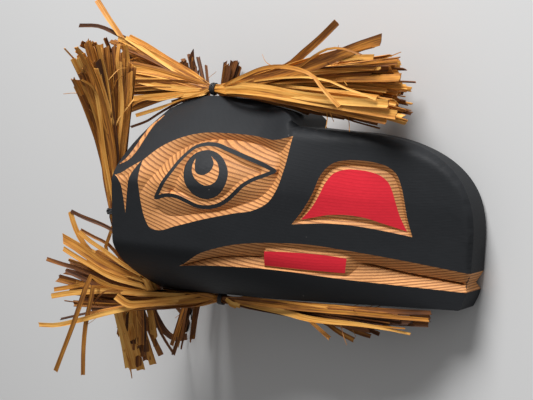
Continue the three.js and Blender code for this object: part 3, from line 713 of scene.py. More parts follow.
def solidOnly(points, triangles):
    # leaves out the slivers that stand between points in a straight row
    corners = points[triangles]
    longest = np.linalg.norm(corners - np.roll(corners, 1, 1), axis=2).max(1)
    a, b = corners[:, 1] - corners[:, 0], corners[:, 2] - corners[:, 0]
    return triangles[np.abs(a[:, 0] * b[:, 1] - a[:, 1] * b[:, 0]) > 0.002 * longest]


def cheekSheet():
    outline, edge = sideOutline()
    notch = {"high": mouthEnd("upper")[1], "deep": mouthEnd("deep")[1], "low": mouthEnd("lower")[1]}
    closed = [socket, lidOuter, lidInner, lidFoot, iris, crescent, pupil, nostril, nostrilGroove, nostrilRed,
              tongueFace, tongueSkirt, stripeEdge, spike]
    opened = [browCrease, lowCrease, upperLip, lowerLip, deepBehind, deepAhead, *edgesBehind, *edgesAhead,
              stripeMiddle, spikeArm, spikeLeg]
    paintOnly = (crescent, pupil, iris)     # no crease in the wood along these
    points, edges, depths, sharp = [], [], [], []

    def add(line, loop, depth=True, creased=True):
        start = len(points)
        for q in line:
            points.append((float(q[0]), float(q[1])))
            depths.append(float(q[2]) if depth else None)
        links = [(start + i, start + i + 1) for i in range(len(line) - 1)]
        if loop:
            links.append((start + len(line) - 1, start))
        edges.extend(links)
        sharp.extend([creased] * len(links))

    outlineLine = np.column_stack([outline, np.zeros(len(outline))])
    add(outlineLine, True, depth=False, creased=False)
    for line in closed:
        add(line, True, depth=line is not crescent, creased=not any(line is p for p in paintOnly))
    for line in opened:
        add(line, False)
    mouthLoop = np.vstack([upperLip, lowerLip[::-1]])
    carved = [socket, nostril, mouthLoop, stripeEdge, spike]
    fineFill, coarseFill = fillPoints(outline, [outlineLine, *closed, *opened], carved)
    for q in fineFill:
        points.append(tuple(q))
        depths.append(None)
    for q in coarseFill:
        points.append(tuple(q))
        depths.append(0.0)
    made = delaunay_2d_cdt([Vector(p) for p in points], edges, [], 1, 1e-4, True)
    places = np.array([tuple(v) for v in made[0]])
    triangles = np.array([f for f in made[2]])
    triangles = solidOnly(places, triangles[inside(outline, places[triangles].mean(1))])
    count = len(places)
    depth, fixed = np.zeros(count), np.zeros(count, bool)
    ring = {}
    for i, sources in enumerate(made[3]):
        known = [depths[s] for s in sources if depths[s] is not None]
        if known:
            depth[i], fixed[i] = min(known), True
        for s in sources:
            if s < len(outline):
                ring[s] = i
    # plain wood keeps its surface, and so does the outline outside the mouth
    for s, i in ring.items():
        z = outline[s][1]
        if outline[s][0] > 240 and notch["low"] < z < notch["high"]:
            far = notch["high"] if z > notch["deep"] else notch["low"]
            depth[i], fixed[i] = mouth["frontDepth"] * (far - z) / (far - notch["deep"]), True
        else:
            depth[i], fixed[i] = 0, True
    loose = ~fixed & ~anyInside(carved, places)
    depth[loose], fixed[loose] = 0, True
    depth = settled(places, triangles, depth, fixed)

    middles = places[triangles].mean(1)
    finish = np.zeros(len(triangles), int)
    bare = inside(socket, middles) & ~inside(lidOuter, middles)
    bare |= inside(lidInner, middles) & ~inside(iris, middles)
    bare |= anyInside((mouthLoop, nostril, stripeEdge, spike, crescent), middles)
    finish[bare] = 1
    finish[anyInside((nostrilRed, tongueFace), middles)] = 2

    # where the mouth runs round the beak's front, the outline itself steps back
    x, z = places[:, 0].copy(), places[:, 1]
    width = halfWidth(x, z)
    stepBack = np.interp(z, [notch["low"], notch["deep"], notch["high"]], [0, mouth["frontDepth"], 0])
    x -= stepBack * np.clip((x - mouth["backFrom"]) / mouth["backOver"], 0, 1)
    creases = [made[1][i] for i, sources in enumerate(made[4])
               if any(s < len(sharp) and sharp[s] for s in sources)]
    order = [ring[s] for s in range(len(outline))]
    return x, z, width, depth, triangles, finish, creases, order, edge


hollow = {
    "sides": 150,                           # points round it
    "rings": ((0, 84, 62), (85.5, 103.4, 20)),   # mm from the rim, from and to, and how many
    "fullness": 2.6, "sideWall": 0.9,       # how round its end is, and the side walls as a share of the wall
    "cutLength": 13, "cutsRound": 30, "cutDepth": 0.55,   # the gouge's cuts
    "rimGrid": 3.2, "rimClear": 2.2,        # points on the sawn rim: mm apart, and square mm to its edges
    "bands": 10,                            # faces across the top, the beak's front and the jaw
}


def scallop(turn, along):
    # shallow gouge cuts in staggered rows
    row = np.floor(along / hollow["cutLength"])
    u = (turn * hollow["cutsRound"] + row * 0.5) % 1 - 0.5
    v = (along / hollow["cutLength"]) % 1 - 0.5
    return hollow["cutDepth"] * (1 - (2 * u) ** 2) * (0.55 + 0.45 * (1 - (2 * v) ** 2))


def cavityRings():
    sides, depthEnd, wall = hollow["sides"], head["cavityDepth"], head["wall"]
    turn = (np.arange(sides) + 0.5) / sides * 2 * math.pi
    rings = []
    for place in np.concatenate([np.linspace(*span) for span in hollow["rings"]]):
        shrink = math.sqrt(1 - (place / depthEnd) ** hollow["fullness"])
        top, bottom = float(topLine(place)) - wall, float(bottomLine(place)) + wall
        middle, half = (top + bottom) / 2, (top - bottom) / 2
        z = middle + np.sin(turn) * half
        reach = (halfWidth(place, z) - wall * hollow["sideWall"]) / np.maximum(np.abs(np.cos(turn)), 0.35)
        cut = scallop(turn / (2 * math.pi), place) * min(1, place / 6 + 0.25) * shrink
        y = np.cos(turn) * (np.maximum(reach, 3) * shrink + cut)
        z = middle + (z - middle) * shrink + np.sin(turn) * cut
        rings.append(np.column_stack([np.full(sides, place), y, z]))
    return rings, np.array([depthEnd - 0.1, 0, middle])


def tubeFaces(base, rings, sides):
    # faces between rings of points that follow one another
    faces = []
    for r in range(rings - 1):
        for i in range(sides):
            a, b = base + r * sides + i, base + r * sides + (i + 1) % sides
            faces.append((a, b, b + sides, a + sides))
    return faces


def toScene(name, mesh, node, angle=None):
    # links the piece, smooths it up to that angle and ties it to its solid
    piece = bpy.data.objects.new(name, mesh)
    bpy.context.scene.collection.objects.link(piece)
    if angle:
        bpy.ops.object.select_all(action="DESELECT")
        piece.select_set(True)
        bpy.context.view_layer.objects.active = piece
        bpy.ops.object.shade_smooth_by_angle(angle=math.radians(angle))
    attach(piece, "root")
    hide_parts(node)


def carvedHead():
    x, z, width, depth, triangles, finish, creases, order, edge = cheekSheet()
    count = len(x)
    print("face drawn:", count, "points,", len(triangles), "triangles a side")
    rightSide = np.column_stack([x, -(width - depth), z])
    points, faces, slots = [*rightSide, *(rightSide * [1, -1, 1])], [], []
    for tri, slot in zip(triangles, finish):
        a, b, c = (int(i) for i in tri)
        faces += [(a, b, c), (count + c, count + b, count + a)]
        slots += [int(slot)] * 2
    sharpEdges = [tuple(e) for e in creases] + [(count + e[0], count + e[1]) for e in creases]

    # bands across the top, the beak's front and the jaw join the two sides
    columns = hollow["bands"]
    rows = []
    for i in order[:edge]:
        row = [i]
        for k in range(1, columns):
            row.append(len(points))
            points.append(rightSide[i] * [1, 1 - 2 * k / columns, 1])
        rows.append([*row, count + i])
    high, low = mouthEnd("upper")[1], mouthEnd("lower")[1]
    for first, second in zip(rows, rows[1:]):
        a, b = rightSide[first[0]], rightSide[second[0]]
        ahead = min(a[0], b[0]) > mouth["bareFrom"]
        bare = ahead and low - 0.01 <= min(a[2], b[2]) <= max(a[2], b[2]) <= high + 0.01
        for k in range(columns):
            faces.append((first[k], second[k], second[k + 1], first[k + 1]))
            slots.append(1 if bare else 0)
        for k in (0, -1):
            sharpEdges.append((first[k], second[k]))
    for row in (rows[0], rows[-1]):
        sharpEdges += list(zip(row, row[1:]))

    # the sawn rim, between the outline and the hollow
    rings, tip = cavityRings()
    base, sides = len(points), hollow["sides"]
    points += [*np.vstack(rings), tip]
    rim = [*rows[0][::-1], *order[edge:][::-1], *rows[-1], *[count + i for i in order[edge:]]]
    flat = np.array([points[i][1:] for i in rim])
    hole = np.array([points[base + i][1:] for i in range(sides)])
    grid = np.array([(y, h) for y in np.arange(-66, 66, hollow["rimGrid"])
                     for h in np.arange(-80, 56, hollow["rimGrid"])])
    grid = grid[inside(flat, grid) & ~inside(hole, grid)]
    near = ((grid[:, None] - np.vstack([flat, hole])[None]) ** 2).sum(2).min(1)
    grid = grid[near > hollow["rimClear"]]
    source = rim + [base + i for i in range(sides)]
    links = [(i, (i + 1) % len(flat)) for i in range(len(flat))]
    links += [(len(flat) + i, len(flat) + (i + 1) % sides) for i in range(sides)]
    cut = delaunay_2d_cdt([Vector(p) for p in [*flat, *hole, *grid]], links, [], 1, 1e-4, True)
    number = {}
    for i, (place, sources) in enumerate(zip(cut[0], cut[3])):
        known = [source[s] for s in sources if s < len(source)]
        if known:
            number[i] = known[0]
        else:
            number[i] = len(points)
            points.append(np.array([0, place[0], place[1]]))
    cutPlaces = np.array([tuple(v) for v in cut[0]])
    cutTriangles = solidOnly(cutPlaces, np.array([f for f in cut[2]]))
    for tri in cutTriangles[~inside(hole, cutPlaces[cutTriangles].mean(1))]:
        faces.append(tuple(number[int(i)] for i in reversed(tri)))
        slots.append(3)
    tube = tubeFaces(base, len(rings), sides)
    last = base + (len(rings) - 1) * sides
    tube += [(last + i, last + (i + 1) % sides, last + sides) for i in range(sides)]
    faces += tube
    slots += [3] * len(tube)
    sharpEdges += [(base + i, base + (i + 1) % sides) for i in range(sides)]
    sharpEdges += zip(rim, [*rim[1:], rim[0]])

    laid = lay(points)
    laid[:, 2] = np.maximum(laid[:, 2], 0)   # the small flat that the cheek and the beak rest on
    mesh = bpy.data.meshes.new("raven_head")
    bm = bmesh.new()
    vertices = [bm.verts.new(p) for p in laid]
    for face, slot in zip(faces, slots):
        if len(set(face)) < 3:
            continue
        try:
            made = bm.faces.new([vertices[i] for i in face])
        except ValueError:
            continue
        made.material_index, made.smooth = slot, True
    bm.edges.ensure_lookup_table()
    for a, b in sharpEdges:
        found = bm.edges.get((vertices[a], vertices[b])) if a != b else None
        if found:
            found.smooth = False
    bmesh.ops.delete(bm, geom=[v for v in bm.verts if not v.link_faces], context="VERTS")
    bmesh.ops.remove_doubles(bm, verts=bm.verts, dist=0.00001)
    bmesh.ops.recalc_face_normals(bm, faces=bm.faces)
    if bm.calc_volume(signed=True) < 0:
        bmesh.ops.reverse_faces(bm, faces=bm.faces)
    openEdges = [e for e in bm.edges if len(e.link_faces) != 2]
    litres = round(bm.calc_volume() * 1000, 3)
    print("head:", len(bm.faces), "faces,", len(openEdges), "open edges,", litres, "litres")
    bm.to_mesh(mesh)
    bm.free()
    # the fourth finish, for the hollow and the sawn rim, is the cedar darkened with painted shade
    for made in (paint("blackPaint"), cedar("bareCedar"), paint("redPaint"), cedar("hollowCedarPaintedShade")):
        mesh.materials.append(made)
    toScene("raven_head", mesh, "carved_head")


carvedHead()
print("head carved")


# Bark: one flat strip is modelled, then every ribbon of a bundle is that strip bent its own way

bark = {
    "alongParts": 22, "acrossParts": 3,
    "sectionPerRibbon": 9.5,                # square mm of a bundle for each ribbon
    "width": (1.8, 6.0), "thickness": (0.40, 0.8),   # mm
    "reach": (0.88, 1.03),                  # where ribbons end, as a share of their strip's length
    "waistWidth": 1.7, "waistRadius": 2.3, "waistOut": 1.9,
    "widensOver": 26, "wavy": 0.06,         # mm from the tie to full width, and how much the width strays
    "roll": 0.6, "wave": 1.6,               # how much ribbons of a bundle turn over and wander
    "runUp": (1.5, 2.6), "drawnRunUp": (1.5, 3), "fanFrom": 3.9,   # mm before and past the tie's middle
    "halfWaist": 1.6,                       # mm
    "hairFrom": 60, "hairShare": 0.35,      # mm, and the share of such strips' ribbons with a loose fibre
    "clearOfHead": 0.5, "clearOfFloor": 0.5,
    "crownEnd": 124, "besideCrown": 6, "beakEnd": 240, "beakHalf": 26, "rim": (-82, 62),   # mask mm
    "dark": (0.050, 0.017, 0.006), "brown": (0.20, 0.066, 0.013),
    "gold": (0.56, 0.225, 0.030), "straw": (0.82, 0.45, 0.11),
}
tieSeat = 4.9                               # mm from the wood to a bundle's middle
ties = {                                    # the bundle's middle, its direction, and the way to the hole
    "tie_top": ((37, 0, float(topLine(37)) + tieSeat), (1, 0, 0), (0, 0, -1)),
    "tie_bottom": ((53, 0, float(bottomLine(53)) - tieSeat), (1, 0, 0), (0, 0, 1)),
    "tie_right": ((-tieSeat, -57, -20), (0, 0, 1), (1, 0, 0)),
    "tie_left": ((-tieSeat, 57, -20), (0, 0, 1), (1, 0, 0)),
}


def blankStrip():
    # a flat strip two units wide, long and thick, with its faces
    bpy.ops.object.select_all(action="DESELECT")
    bpy.ops.mesh.primitive_grid_add(x_subdivisions=bark["alongParts"], y_subdivisions=bark["acrossParts"],
                                    size=2)
    blank = bpy.context.object
    thick = blank.modifiers.new("thick", "SOLIDIFY")
    thick.thickness, thick.offset = 2, 0
    bpy.ops.object.modifier_apply(modifier="thick")
    places = np.array([v.co[:] for v in blank.data.vertices])
    # a ribbon's own directions mirror the strip, so its faces run the other way
    polygons = [tuple(p.vertices)[::-1] for p in blank.data.polygons]
    bpy.data.objects.remove(blank)
    return places, polygons


stripPlaces, stripFaces = blankStrip()


def bent(points, shares):
    # a smooth line through points, at shares of its length
    p = np.array(points, float)
    first, last = 2 * p[0] - p[1], 2 * p[-1] - p[-2]
    p = np.vstack([first, p, last])
    dense = []
    for i in range(1, len(p) - 2):
        a, b, c, d = p[i - 1:i + 3]
        span = np.linalg.norm(c - b) + 1e-9
        m0 = (c - a) / (np.linalg.norm(b - a) + span) * span
        m1 = (d - b) / (np.linalg.norm(d - c) + span) * span
        dense += [cubic(t, b, c, m0, m1) for t in np.linspace(0, 1, 12, endpoint=False)]
    dense = np.array([*dense, p[-2]])
    run = np.concatenate([[0], np.cumsum(np.linalg.norm(np.diff(dense, axis=0), axis=1))])
    at = np.clip(shares, 0, 1) * run[-1]
    line = np.column_stack([np.interp(at, run, dense[:, k]) for k in range(3)])
    return line, run[-1]


class Bundle:
    def __init__(self, name, tie, seed, depthAxis):
        self.name, self.tie, self.depthAxis = name, tie, depthAxis
        self.centre, self.along = (np.array(v, float) for v in ties[tie][:2])
        self.axis = int(np.argmax(self.along))
        self.places, self.uvs, self.tones = [], [], []
        self.random = random.Random(seed)

    def ribbon(self, points, width, thickness, tone, roll, twist, cup, slant, ragged=0.7,
               narrow=bark["waistWidth"], pointed=0.0):
        # one strip along the points, its broad side to the camera before it rolls and twists
        pick = self.random
        s = (stripPlaces[:, 0] + 1) / 2
        stations = np.linspace(0, 1, bark["alongParts"] + 1)
        line, length = bent(points, stations)
        ahead = np.gradient(line, axis=0)
        ahead /= np.linalg.norm(ahead, axis=1)[:, None]
        normal = back - ahead * (ahead @ back)[:, None]
        normal /= np.linalg.norm(normal, axis=1)[:, None] + 1e-9
        across = np.cross(ahead, normal)
        angle = roll + twist * stations
        normal, across = (normal * np.cos(angle)[:, None] + across * np.sin(angle)[:, None],
                          across * np.cos(angle)[:, None] - normal * np.sin(angle)[:, None])
        spread = np.clip(stations * length / bark["widensOver"], 0, 1) ** 0.7
        start = min(narrow, width)
        wide = start + (width - start) * spread
        wide *= 1 - pointed * np.clip(stations * 2.2 - 1.2, 0, 1)
        wide *= 1 + bark["wavy"] * np.sin(stations * pick.uniform(5, 14) + pick.uniform(0, 6))
        index = np.rint(s * bark["alongParts"]).astype(int)
        t, k = stripPlaces[:, 1], stripPlaces[:, 2]
        jag = [slant * c + pick.uniform(-ragged, ragged)
               for c in np.linspace(-1, 1, bark["acrossParts"] + 1)]
        column = np.rint((t + 1) / 2 * bark["acrossParts"]).astype(int)
        atTip = np.clip((s - 0.93) / 0.07, 0, 1)
        tips = ahead[index] * (np.array(jag)[column] * atTip)[:, None]
        half = wide[index] / 2
        lift = cup * half * (t * t - 0.5) * np.clip(s * 3, 0, 1) + k * thickness / 2
        sideways = across[index] * (t * half)[:, None]
        self.places.append(line[index] + sideways + normal[index] * lift[:, None] + tips)
        self.uvs.append(np.column_stack([t * half + pick.uniform(0, 400), s * length + pick.uniform(0, 400)]))
        self.tones += [tone] * len(t)

    def waist(self, turn, out):
        # a place in the bundle's waist
        place = np.zeros(3)
        place[[k for k in range(3) if k != self.axis]] = out * math.cos(turn), out * math.sin(turn)
        return place

    def fan(self, side, tones, strips, ends=bark["reach"]):
        # ribbons that fill the room of each broad strip of one half of the bundle
        pick = self.random
        centre, along = self.centre, self.along * side
        start = centre + along * bark["fanFrom"]
        before, past = bark["runUp"]
        slim = bark["halfWaist"]
        for tip, bend, broad, thick in strips:
            tip, bend = np.array(tip, float), np.array(bend, float)
            middle = start + (tip - start) * 0.45 + bend
            count = max(2, round(broad * thick / bark["sectionPerRibbon"]))
            reach = np.linalg.norm(tip - start)
            for _ in range(count):
                a, b = pick.uniform(-0.8, 0.8), pick.uniform(-0.85, 0.85)
                turn = pick.uniform(0, 2 * math.pi)
                waist = self.waist(turn, bark["waistRadius"] * math.sqrt(pick.random()))
                end = pick.uniform(*ends)
                phase, swell = pick.uniform(0, 6), pick.uniform(0.4, 1) * bark["wave"]
                points = [centre + waist - along * before, centre + waist + along * past]
                for share in (0.16, 0.33, 0.5, 0.68, 0.85, 1):
                    f = share * end
                    g = 1 - f
                    q = start * g * g + middle * 2 * f * g + tip * f * f
                    ahead = (middle - start) * g + (tip - middle) * f
                    ahead /= np.linalg.norm(ahead)
                    face = np.array([0, 1, 0]) if abs(ahead[1]) < 0.8 else np.array([0, 0, 1])
                    across = np.cross(ahead, face)
                    across /= np.linalg.norm(across)
                    through = np.cross(across, ahead)
                    w = slim + (broad / 2 - slim) * math.sqrt(share)
                    t = slim + (thick / 2 - slim) * math.sqrt(share)
                    drift = swell * share * math.sin(phase + share * 5)
                    q = q + across * (a * w + drift) + through * (b * t + drift * 0.6)
                    points.append(q + waist * g * 0.4)
                width = pick.uniform(*bark["width"]) * min(1, 0.45 + broad / 18)
                self.ribbon(points, width, pick.uniform(*bark["thickness"]),
                            min(max(pick.gauss(*tones), 0.02), 0.98), pick.gauss(0, bark["roll"]),
                            pick.gauss(0, 0.35), pick.uniform(-0.25, 0.5), pick.uniform(-1.2, 1.2))
                if reach > bark["hairFrom"] and pick.random() < bark["hairShare"]:
                    self.hair(points[5], points[7] - points[5])

    def hair(self, start, ahead):
        # a fine fibre that has come loose from a ribbon
        pick = self.random
        ahead = ahead / (np.linalg.norm(ahead) + 1e-9)
        points, way = [np.array(start)], ahead
        turn = np.array([pick.gauss(0, 1) for _ in range(3)])
        for _ in range(4):
            way = way + turn * 0.16 + np.array([pick.gauss(0, 0.12) for _ in range(3)])
            way /= np.linalg.norm(way)
            points.append(points[-1] + way * pick.uniform(4, 9))
        self.ribbon(points, pick.uniform(0.4, 0.8), 0.3, pick.uniform(0.45, 0.9), pick.uniform(0, 3),
                    0.4, 0, 0, 0.1, narrow=0.5, pointed=0.6)

    def drawn(self, side, width, tone, path, slant=0.0, thickness=0.6, narrow=bark["waistWidth"],
              pointed=0.0):
        # a single ribbon that the picture shows, from the tie if it has a side
        points = [seenAt(u, v, self.depthAxis, place) for u, v, place in path]
        if side:
            waist = self.waist(self.random.uniform(0, 2 * math.pi), bark["waistOut"])
            before, past = bark["drawnRunUp"]
            points = [self.centre + waist - self.along * side * before,
                      self.centre + waist + self.along * side * past, *points]
        self.ribbon(points, width, thickness, tone, 0.0, 0.0, 0.15, slant, 0.5, narrow, pointed)

    def clear(self, places):
        # out of the head and off the floor
        x, y, z = places.T
        gap = bark["clearOfHead"]
        if self.tie == "tie_top":
            along = np.clip(x, 0, head["length"])
            outer = halfWidth(along, topLine(x) - 2) + bark["besideCrown"]
            over = (x > -gap) & (x < bark["crownEnd"]) & (np.abs(y) < outer)
            z = np.where(over, np.maximum(z, topLine(np.clip(x, 0, head["step"])) + gap), z)
            over = (x >= bark["crownEnd"]) & (x < bark["beakEnd"]) & (np.abs(y) < bark["beakHalf"])
            z = np.where(over, np.maximum(z, topLine(x) + gap), z)
        elif self.tie == "tie_bottom":
            z = np.where(x > -gap, np.minimum(z, bottomLine(np.clip(x, 0, head["length"])) - gap), z)
        else:
            rimLow, rimHigh = bark["rim"]
            x = np.where((z < rimHigh) & (z > rimLow), np.minimum(x, -gap), x)
        height = shift[2] - x * leanSin - y * leanCos
        lift = np.maximum(bark["clearOfFloor"] - height, 0)
        return np.column_stack([x - lift * leanSin, y - lift * leanCos, z])

    def finished(self, node):
        places, count = self.clear(np.vstack(self.places)), len(stripPlaces)
        faces = [tuple(r * count + i for i in face) for r in range(len(self.places)) for face in stripFaces]
        mesh = bpy.data.meshes.new(self.name)
        mesh.from_pydata(lay(places).tolist(), [], faces)
        corners = np.concatenate([p.vertices[:] for p in mesh.polygons])
        uv = mesh.uv_layers.new(name="fibre")
        uv.data.foreach_set("uv", np.vstack(self.uvs)[corners].ravel())
        tone = mesh.attributes.new("tone", "FLOAT", "POINT")
        tone.data.foreach_set("value", self.tones)
        mesh.materials.append(barkMaterial)
        toScene(self.name, mesh, node, 50)
        print(self.name, len(self.places), "ribbons,", len(faces) * 2, "triangles")


def barkFinish():
    made, shader = material("splitBark")
    # each ribbon's tone: the bark's own colour, with painted shade or painted light in it for some bundles
    shade = addNode(made, "ShaderNodeAttribute", attribute_name="tone")
    uv = addNode(made, "ShaderNodeUVMap", uv_map="fibre").outputs[0]
    fibre = noise(made, uv, (1.3, 0.035, 1), 4.0, 0.65)
    strand = noise(made, uv, (0.45, 0.018, 1))
    stain = noise(made, uv, (0.16, 0.045, 1), 3.0)
    moved = shade.outputs["Fac"]
    for part, share in ((strand, 0.80), (stain, 0.40), (fibre, 1.15)):
        moved = plus(made, moved, times(made, maths(made, "SUBTRACT", part, 0.5), share))
    color = ramp(made, moved, [(0.0, bark["dark"]), (0.34, bark["brown"]), (0.66, bark["gold"]),
                               (1.0, bark["straw"])])
    join(made, (color, shader.inputs["Base Color"]))
    shader.inputs["Roughness"].default_value = 0.58
    shader.inputs["Specular IOR Level"].default_value = 0.35
    low = bumped(made, shader, fibre, 0.00035, 0.8)
    bumped(made, shader, strand, 0.0006, 0.6, low)
    return made


barkMaterial = barkFinish()


# The steps of a bundle are made in this order, which settles the random draws. A fan has the half of the
# bundle, its tones, and its strips as tip, bend, mm broad and mm thick. The ribbons are those that the
# picture shows, one by one: the half (0 stands alone), mm wide, tone, and the way as pixels across and
# down with a place in mm along the bundle's depth axis.

# Tones are the bark's own colour, except that some bundles below carry painted shade or painted light in
# them, as their comments say.
topBark = {
    "name": "bark_top", "tie": "tie_top", "node": "bark_bundle_top", "seed": 11, "depthAxis": 1,
    "backFan": {"side": -1, "tones": (0.46, 0.26), "strips": [
        ((-78, -14, 62), (0, 0, 8), 13, 12), ((-84, 8, 74), (0, 0, 8), 13, 12),
        ((-80, -8, 86), (0, 0, 6), 13, 11), ((-72, 22, 92), (0, 0, 5), 12, 10),
        ((-64, 4, 103), (0, 0, 4), 8, 8), ((-60, -4, 47), (0, 0, 8), 6, 5)]},
    "frontFan": {"side": 1, "tones": (0.6, 0.2), "ends": (0.86, 1.01), "strips": [
        ((205, -27, 60), (0, 0, 9), 13, 12), ((203, -14, 72), (0, 0, 9), 13, 13),
        ((196, 2, 63), (0, 0, 9), 13, 12), ((190, 12, 76), (0, 0, 8), 12, 12),
        ((197, -22, 85), (0, 0, 6), 13, 12), ((188, -4, 90), (0, 0, 4), 12, 12),
        ((182, -28, 101), (0, 0, 2), 7, 5), ((180, 12, 95), (0, 0, 3), 8, 7)]},
    "ribbons": [
        # ribbons that stand out of the bundle's left half
        (-1, 4.3, 0.66, [(175, 75, 6), (160, 69, 8), (146, 64, 9), (136, 57, 10), (127, 46, 11),
         (118, 32, 11), (109, 19, 10), (97, 0, 10)]),
        (-1, 3.2, 0.1, [(190, 77, 8), (150, 52, 12), (130, 41, 13), (112, 31.5, 14), (98, 26, 15),
         (79.5, 25.5, 17)]),
        (-1, 3.0, 0.95, [(198, 85.5, -2), (185, 77, -1), (165, 64, 0), (141, 48, 2), (126, 37.5, 3)]),
        (-1, 5.4, 0.62, [(190, 73, 2), (165, 58.5, 4), (145, 46, 5), (129, 37.5, 6)]),
        (-1, 6.4, 0.55, [(190, 83, 0), (170, 76, 0), (150, 69.5, 0), (133, 65, 0)]),
        (-1, 4.2, 0.8, [(195, 90, -5), (165, 87, -8), (150, 84, -9), (128, 77, -11)]),
        (-1, 4.4, 0.74, [(200, 93, -5), (170, 95.5, -8), (150, 97, -10), (128, 99, -12)]),
        (-1, 2.6, 0.82, [(200, 95, -6), (178, 102, -9), (157, 109, -11), (136, 115.5, -13)]),
        (-1, 1.8, 0.22, [(170, 107, 4), (158, 114, 3), (147, 121, 2), (131, 127, 0)]),
        (-1, 1.6, 0.72, [(160, 100, -14), (146, 99, -18), (134, 104, -22), (117, 121, -24),
         (104, 134, -25)]),
        # and out of its right half
        (1, 5.0, 0.42, [(235, 83, -6), (260, 74, -10), (288, 66.5, -14), (304, 53, -17), (320, 39, -20),
         (337, 22, -22)]),
        (1, 7.2, 0.44, [(240, 84, -8), (275, 76, -16), (310, 66, -22), (336, 56, -26), (358, 47, -28),
         (381, 39.5, -30)], {"slant": -1.6}),
        (1, 1.5, 0.6, [(250, 83, -8), (290, 72, -18), (318, 53.5, -27), (330, 48.5, -30), (345, 49, -31),
         (361, 55, -31)]),
        (1, 3.6, 0.78, [(240, 85, -8), (280, 74, -16), (330, 60, -24), (355, 57.5, -27), (374, 57, -29)]),
        (1, 2.4, 0.62, [(250, 83, -4), (300, 72, -12), (350, 66, -18), (378, 60.5, -20), (390, 56.5, -20),
         (401, 52, -20)], {"pointed": 0.8}),
        (1, 3.6, 0.36, [(250, 84, -4), (300, 75, -12), (350, 69, -18), (375, 65.5, -19),
         (397, 63, -20)], {"pointed": 0.4}),
        (1, 2.6, 0.68, [(226, 85, -6), (245, 75.5, -14), (262, 68.5, -22), (280, 66.5, -28),
         (299, 69.5, -32), (313, 76, -34), (322, 88, -34), (331, 98, -34), (339, 106.5, -33)]),
        (1, 5.2, 0.9, [(240, 86, -10), (265, 88.5, -18), (290, 93.5, -24), (320, 98.5, -28),
         (350, 101.5, -31), (388, 104, -34)]),
        (1, 1.4, 0.93, [(250, 82, -10), (300, 77, -24), (329, 81, -32), (345, 88, -34), (362, 94, -35),
         (376, 99.5, -35)]),
        (0, 0.6, 0.8, [(289, 70, -14), (275, 67, -15), (266, 62, -15),
         (262, 54, -15)], {"narrow": 0.5, "pointed": 0.7}),
        # low ribbons that lie against the crown
        (1, 5.0, 0.2, [(224, 95, 2), (250, 98.5, 2), (280, 104, 0), (310, 112, -2)]),
        (1, 5.5, 0.34, [(224, 94, -4), (250, 97, -5), (280, 102, -7), (312, 110, -9), (345, 116, -10)]),
        (1, 5.0, 0.12, [(222, 94, 6), (245, 97, 7), (270, 101, 7)]),
        (-1, 4.0, 0.3, [(206, 95, 1), (190, 97.5, 2), (172, 103, 3)]),
        (1, 5.0, 0.58, [(232, 92, -14), (262, 96, -18), (300, 103, -22), (340, 111, -26), (386, 121, -30)]),
        (1, 5.5, 0.72, [(232, 90, -16), (262, 92.5, -22), (300, 99, -26), (340, 106, -29),
         (396, 115, -32)]),
        (1, 3.6, 0.3, [(232, 93, -8), (262, 98, -12), (296, 104, -14), (336, 113, -18), (378, 123, -22)]),
        (1, 1.1, 0.3, [(260, 98, 0), (300, 102.5, 0), (325, 110, 0), (350, 120, 0), (380, 128.5, 0)]),
    ],
}
